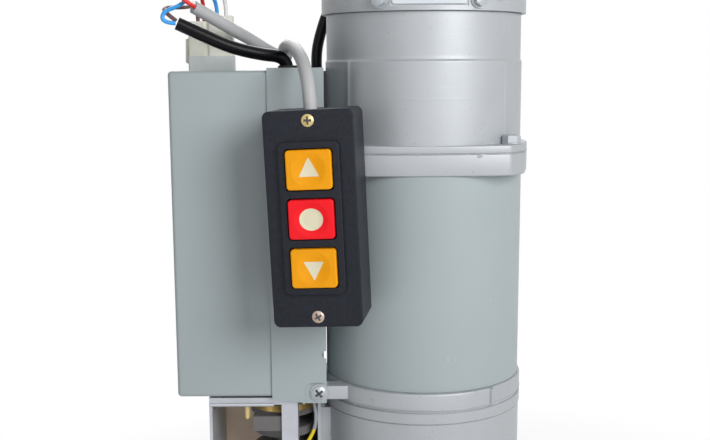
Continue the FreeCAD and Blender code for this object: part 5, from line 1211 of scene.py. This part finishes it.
@dataclass
class Station:
    """Push-button station that hangs on its cable in front of the box."""

    shop: Workshop
    place: Point = (-64 * MM, -64.5 * MM, 208.3 * MM)
    yaw: float = math.radians(-8)
    roll: float = math.radians(-2.5)
    key_width: float = 26.6 * MM
    key_height: float = 22.9 * MM
    key_corner: float = 2.1 * MM
    key_pitch: float = 28.5 * MM
    key_lift: float = 1 * MM
    key_face: float = 45.2 * MM
    key_back: float = 31.2 * MM
    key_edge: float = 0.8 * MM
    dish_radius: float = 10.2 * MM
    dish_depth: float = 1.5 * MM
    dish_power: float = 1.3
    disc_half: Span = (6.9 * MM, 6.4 * MM)
    arrow_half: Span = (6.0 * MM, 5.6 * MM)
    arrow_corner: float = 0.4 * MM
    arrow_shift: float = 1.7 * MM
    inlay_proud: float = 0.06 * MM
    inlay_depth: float = 0.4 * MM
    screw_radius: float = 3.7 * MM
    screw_crown: float = 2.0 * MM
    screw_lift: float = 57.25 * MM
    screw_seat: float = 38.8 * MM
    lower_screw_turn: float = 0.5

    @property
    def matrix(self) -> Matrix:
        """From the station's own axes, across, up and out of its face, to the frame."""
        return Matrix.Translation(self.place) @ turned(self.yaw, "Z") @ turned(self.roll, "Y") @ FRONTWARDS

    def build(self) -> None:
        """Build the shells, the keys with their symbols, and the screws."""
        self.shop.soften({"station_front": 0.7, "station_back": 0.7})
        self.key(Symbol.UP, "up_button", ORANGE)
        self.key(Symbol.STOP, "stop_button", RED)
        self.key(Symbol.DOWN, "down_button", ORANGE)
        self.screws()

    def key(self, symbol: Symbol, node: str, finish: Finish) -> None:
        """One key and its inlaid symbol.

        The face is the outline drawn in towards its middle ring by ring, at the height of the dish.
        """
        outline = evenly(rectangle(self.key_width, self.key_height, self.key_corner, steps=10), count=200)
        turn = quarter(6)
        depth = np.concatenate([[0], self.key_edge * (1 - np.cos(turn))])
        height = np.concatenate([[self.key_back], self.key_face - self.key_edge * (1 - np.sin(turn))])
        sides = rings_of(outline, depth, height)
        face = self.face_rings(sides[-1, :, :2], count=34)
        rise = symbol.value * self.key_pitch + self.key_lift
        move = self.matrix @ Matrix.Translation((0, rise, 0))
        key = Surface.from_rings(np.concatenate([sides, face[1:]])).moved(move)
        self.shop.add(node + "_key", key, finish, node)

        top = self.face_rings(self.mark(symbol), count=14) + np.array([0, 0, self.inlay_proud])
        skirt = top[:1] - np.array([0, 0, self.inlay_depth])
        inlay = Surface.from_rings(np.concatenate([skirt, top])).moved(move)
        self.shop.trim(node + "_symbol", inlay, CREAM, node)

    def face_rings(self, outline: np.ndarray, count: int) -> np.ndarray:
        """Rings from an outline in to its middle, laid on a face with a round finger dish.

        The dish is deepest in its middle and fades out at its rim.

        Args:
            outline: Closed outline, points by 2.
            count: Rings wanted.

        Returns:
            Points, rings by points by 3.
        """
        middle = outline.mean(axis=0)
        flat = middle + (outline - middle) * np.linspace(1, INNERMOST, count)[:, None, None]
        away = np.clip(np.hypot(flat[..., 0], flat[..., 1]) / self.dish_radius, 0, 1)
        height = self.key_face - self.dish_depth * (1 - away ** 2) ** self.dish_power
        return np.concatenate([flat, height[..., None]], axis=2)

    def mark(self, symbol: Symbol) -> np.ndarray:
        """Outline of a symbol: a triangle pointing up or down, or a disc."""
        if symbol is Symbol.STOP:
            angle = full_turn(64)
            return np.stack([np.cos(angle), np.sin(angle)], axis=1) * self.disc_half
        half, rise = self.arrow_half
        foot, tip = self.arrow_shift - rise, self.arrow_shift + rise
        corners = np.array([(-half, foot), (half, foot), (0, tip)]) * symbol.value
        return evenly(rounded(corners, self.arrow_corner, steps=5), count=120)

    def screws(self) -> None:
        """The upper and the lower case screw, of different plating, with painted shade in their recesses."""
        node = "station_screws"
        head, recess_shade = (shape(self.screw_radius, self.screw_crown) for shape in (cross_head, cross_recess_shade))
        upper, lower = (self.matrix @ Matrix.Translation((0, lift, self.screw_seat))
                        for lift in (self.screw_lift, -self.screw_lift))
        lower = lower @ turned(self.lower_screw_turn, "Z")
        self.shop.add("upper_station_screw", head.moved(upper), YELLOW_ZINC, node)
        self.shop.trim("lower_station_screw", head.moved(lower), PINK_ZINC, node)
        # Dark bars in the cross recesses: painted shade.
        self.shop.trim("station_screw_recess_shade", recess_shade.copies((upper, lower)), MAGNET, node)


# Limit unit

@dataclass
class LimitUnit:
    """Screw, disc, nuts and switches in a sheet frame below the box."""

    shop: Workshop
    lip_radius: float = 1.3 * MM
    lip_lift: float = 79.6 * MM
    lip_proud: float = 0.2 * MM
    lip_reach: Span = (-140 * MM, -98.5 * MM)
    plate: float = 1.2 * MM
    plate_edge: float = 0.3 * MM
    plate_low_gap: Point = (1.5 * MM, 0, 2 * MM)
    plate_high_gap: Point = (1.2 * MM, 0.2 * MM, 2.2 * MM)
    dark_plate_left: float = -84.5 * MM
    pin_spot: Point = (-116.3 * MM, 8 * MM, 67 * MM)
    pin_radius: float = 2.1 * MM
    pin_sunk: float = 1 * MM
    band: Span = (66.8 * MM, 71.2 * MM)
    band_proud: float = 0.12 * MM
    band_sunk: float = 0.6 * MM

    def build(self) -> None:
        """Build the frame and what turns in it."""
        self.shop.soften({"limit_frame": 0.35, "limit_disc": 0.4, "limit_nut_lower": 0.3,
                          "limit_nut_upper": 0.3, "limit_switches": 0.25, "limit_screw": 0.3})
        self.lip()
        self.back()
        self.brass_band()
        self.stop_pin()

    def lip(self) -> None:
        """The rolled lower edge of the frame's front: a circle carried along X."""
        turn = full_turn(24)
        along = np.linspace(*self.lip_reach, 12)[:, None]
        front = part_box("limit_frame")[0].y + self.lip_proud
        grid = np.stack(np.broadcast_arrays(along, front + self.lip_radius * np.cos(turn),
                                            self.lip_lift + self.lip_radius * np.sin(turn)), axis=-1)
        self.shop.trim("rolled_lip", Surface.from_rings(grid), FRAME_STEEL, "limit_frame")

    def back(self) -> None:
        """The thin back plate of the frame, and a dark plate in front of it on its motor side."""
        low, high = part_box("limit_frame")
        low, high = low + Vector(self.plate_low_gap), high - Vector(self.plate_high_gap)
        inside = high.y - self.plate
        plate = Surface.block(Vector((low.x, inside, low.z)), high, self.plate_edge, self.plate_edge)
        self.shop.trim("limit_back_plate", plate, BACK_STEEL, "limit_frame")
        # A black plate in front of the back plate on its motor side, which darkens that part of the frame's
        # inside.
        start = Vector((self.dark_plate_left, inside - self.plate, low.z))
        end = Vector((high.x, inside, high.z))
        dark_plate = Surface.block(start, end, self.plate_edge, self.plate_edge)
        self.shop.trim("limit_dark_plate", dark_plate, RUBBER, "limit_frame")

    def brass_band(self) -> None:
        """The brass band round the rim of the limit disc."""
        low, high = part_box("limit_disc")
        middle, outer = (low + high) / 2, (high.x - low.x) / 2
        inside, outside = outer - self.band_sunk, outer + self.band_proud
        foot, top = self.band
        ring = Surface.spun([(inside, foot), (outside, foot), (outside, top), (inside, top)], steps=128)
        ring = ring.moved(Matrix.Translation((middle.x, middle.y, 0)))
        self.shop.trim("limit_disc_band", ring, BRASS, "limit_disc")

    def stop_pin(self) -> None:
        """The plated stop pin under the frame's shelf: a rod whose lower end is half a sphere."""
        low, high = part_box("limit_frame")
        x, y, z = self.pin_spot
        turn = np.linspace(0.06, math.pi / 2, 10)
        end = zip(self.pin_radius * np.sin(turn), self.pin_radius * (1 - np.cos(turn)))
        top = high.z - self.pin_sunk - z
        pin = Surface.spun([*end, (self.pin_radius, top)], steps=40, closed=False)
        pin = pin.moved(Matrix.Translation((x, low.y + y, z)))
        self.shop.trim("limit_stop_pin", pin, YELLOW_ZINC, "limit_frame")


# Cords

@dataclass(frozen=True)
class Cord:
    """A free cord: its solid, finish, size, far end and the points of its route in millimetres."""

    node: str
    finish: Finish
    diameter: float
    length: float
    far_end: str
    stiffness: str
    route: tuple[Point, ...]

    def build(self, shop: Workshop) -> None:
        """Lay the cord as one smooth spline with the route's points as control points."""
        data = bpy.data.curves.new(self.node + "_line", "CURVE")
        data.dimensions = "3D"
        data.bevel_depth = self.diameter / 2 * MM
        data.bevel_resolution = 8
        data.resolution_u = 14
        data.use_fill_caps = True
        spline = data.splines.new("NURBS")
        spline.points.add(len(self.route) - 1)
        points = np.column_stack([np.array(self.route) * MM, np.ones(len(self.route))])
        spline.points.foreach_set("co", points.ravel())
        spline.order_u = 3
        spline.use_endpoint_u = True
        piece = shop.enter(self.node + "_cord", data, self.finish, self.node)


CORDS = (
    Cord("remote_cable", GREY_SHEATH, 8, 203, "bare", "medium", (
        (-70.5, -91.86, 268.7), (-70.9, -91.8, 278.2), (-72.6, -86, 290.3), (-76.2, -73, 300.8),
        (-81.5, -50, 307.2), (-86.8, -22, 309.8), (-91.7, -3, 307), (-89.2, 9, 302.8), (-94, 16, 302.6),
        (-102, 14.5, 306), (-108, 7, 310), (-114, -2, 314.2), (-121.5, -16, 318.6), (-132.5, -28, 325.5),
        (-144.5, -36, 332.5))),
    Cord("mains_cable", BLACK_SHEATH, 8, 85, "bare", "medium", (
        (-87.5, -22, 288), (-87.3, -21.8, 296.5), (-91.7, -24.6, 302.4), (-103, -31, 303.4),
        (-121, -38, 307.5), (-139, -43, 315.5), (-153.5, -46, 322.3))),
    Cord("brake_lead", BLACK_SHEATH, 7.6, 104, "object", "medium", (
        (-75.6, 22, 276), (-75.6, 41, 276), (-71, 47.5, 286), (-72, 49, 303), (-69.5, 51, 317),
        (-61.5, 51.6, 340), (-46, 38.6, 340))),
    Cord("blue_core", BLUE_CORE, 2.6, 85, "object", "limp", (
        (-154.2, -47.6, 322.3), (-161.8, -49.4, 322.6), (-161.8, -48.8, 329), (-153, -36, 333.5),
        (-148.5, -24, 339.5), (-142, -12, 344), (-137.5, -2, 342), (-135.3, 6, 336.5), (-135.3, 6, 329))),
    Cord("brown_core", BROWN_CORE, 2.6, 68, "object", "limp", (
        (-154.2, -44.7, 323.9), (-158.5, -44.6, 327.2), (-162.5, -41, 330.5), (-161.5, -35, 332.5),
        (-156.5, -27, 332.8), (-152, -17, 333.5), (-149.3, -6, 335), (-148, 6, 332.5), (-148, 6, 325.4))),
    Cord("red_core", RED_CORE, 2.6, 77, "object", "limp", (
        (-143.45, -37.58, 332.5), (-148.6, -41, 335.5), (-153.5, -39.5, 340.5), (-154.5, -31, 346.5),
        (-150.5, -17, 349.5), (-146, -3, 346), (-143.8, 6, 337), (-143.8, 6, 325.4))),
    Cord("white_core", WHITE_CORE, 2.6, 68, "object", "limp", (
        (-143.81, -35.54, 334.21), (-148.4, -38.6, 336.9), (-150, -33, 342.5), (-144.5, -22, 345.5),
        (-137.5, -11, 346), (-132, -1, 344.5), (-129.3, 6, 338.5), (-129.3, 6, 329))),
    Cord("limit_lead", LIMIT_LEAD, 2.4, 42, "object", "limp", (
        (-73.5, -31, 84.2), (-73, -32, 76), (-71.5, -33, 68), (-72.5, -33, 59), (-76.5, -33, 51),
        (-80.5, -35, 45))),
)


# Studio

@dataclass(frozen=True)
class Lamp:
    """A square soft lamp: its place and width in metres, and its power in watts."""

    name: str
    spot: Point
    size: float
    power: float

    def build(self, target: Point) -> None:
        """Hang the lamp and aim it at a point."""
        data = bpy.data.lights.new(self.name, "AREA")
        data.size = self.size
        data.energy = self.power
        lamp = bpy.data.objects.new(self.name, data)
        lamp.location = self.spot
        lamp.rotation_euler = (Vector(target) - Vector(self.spot)).to_track_quat("-Z", "Y").to_euler()
        bpy.context.scene.collection.objects.link(lamp)


@dataclass
class Studio:
    """Camera at the photograph's place, plain lamps, pale floor and white surroundings."""

    eye: Point = (-0.0447, -0.727, 0.295)
    tilt: float = math.radians(80.5)
    roll: float = math.radians(0.3)
    lens: float = 55.27
    sensor: float = 36
    rise: float = 0.0423
    lamps: tuple[Lamp, ...] = (Lamp("key", (0.72, -1.14, 0.72), 0.7, 15.8),
                               Lamp("front", (-0.3, -1.9, 0.6), 1.4, 5.5),
                               Lamp("back", (-0.2, 1.7, 1.2), 1.2, 18))
    target: Point = (-0.03, 0, 0.2)
    floor_reach: float = 40.0
    floor_colour: Colour = (0.85, 0.85, 0.85)
    shadow_reach: Span = (0.1, 0.38)
    shadow_white: Span = (0.7, 1.0)
    world_light: float = 0.16

    def build(self, floor_height: float) -> None:
        """Set up the camera, the lamps, the floor and the world."""
        bpy.context.scene.view_settings.view_transform = "Standard"
        self.camera()
        for lamp in self.lamps:
            lamp.build(self.target)
        self.floor(floor_height)
        self.world()

    def camera(self) -> None:
        """The camera, with the shift that the photograph's framing needs."""
        data = bpy.data.cameras.new("camera")
        data.lens = self.lens
        data.sensor_width = self.sensor
        data.sensor_fit = "HORIZONTAL"
        data.shift_y = self.rise
        camera = bpy.data.objects.new("camera", data)
        camera.location = self.eye
        camera.rotation_euler = (self.tilt, self.roll, 0)
        bpy.context.scene.collection.objects.link(camera)
        bpy.context.scene.camera = camera

    def floor(self, height: float) -> None:
        """A wide pale floor that keeps the shadow near the object and is plain white far from it."""
        mesh = bpy.data.meshes.new("floor")
        corners = [(x * self.floor_reach, y * self.floor_reach, height)
                   for x, y in ((-1, -1), (1, -1), (1, 1), (-1, 1))]
        mesh.from_pydata(corners, [], [(0, 1, 2, 3)])
        floor = bpy.data.objects.new("floor", mesh)
        bpy.context.scene.collection.objects.link(floor)
        material = bpy.data.materials.new("pale_floor")
        sheet = NodeSheet(material)
        away = sheet.node("VectorMath", {0: sheet.place}, operation="LENGTH").outputs["Value"]
        white = sheet.white_share(sheet.ranged(away, self.shadow_reach, self.shadow_white))
        matt = sheet.node("BsdfDiffuse", {"Color": (*self.floor_colour, 1)}).outputs[0]
        mix = sheet.node("MixShader", {0: white, 1: matt, 2: sheet.node("Emission").outputs[0]})
        sheet.node("OutputMaterial", {"Surface": mix.outputs[0]})
        mesh.materials.append(material)
        floor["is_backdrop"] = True

    def world(self) -> None:
        """White where it is seen or mirrored, and a softer grey as a source of light."""
        world = bpy.data.worlds.new("surroundings")
        bpy.context.scene.world = world
        sheet = NodeSheet(world)
        shade, white = (sheet.node("Background", {"Color": (1, 1, 1, 1), "Strength": strength}).outputs[0]
                        for strength in (self.world_light, 1))
        mix = sheet.node("MixShader", {0: sheet.white_share(), 1: shade, 2: white})
        sheet.node("OutputWorld", {"Surface": mix.outputs[0]})


def main() -> None:
    """Build the object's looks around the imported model."""
    logging.basicConfig(level=logging.INFO, format="%(name)s: %(message)s")
    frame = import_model()
    solid_box = [list(corner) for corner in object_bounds()]
    shop = Workshop(frame)
    Studio().build(solid_box[0][2])
    for cord in CORDS:
        cord.build(shop)
    for part in (MotorColumn(shop), ControlBox(shop), Station(shop), LimitUnit(shop)):
        part.build()
    shop.keep_rest()


if __name__ == "__main__":
    main()
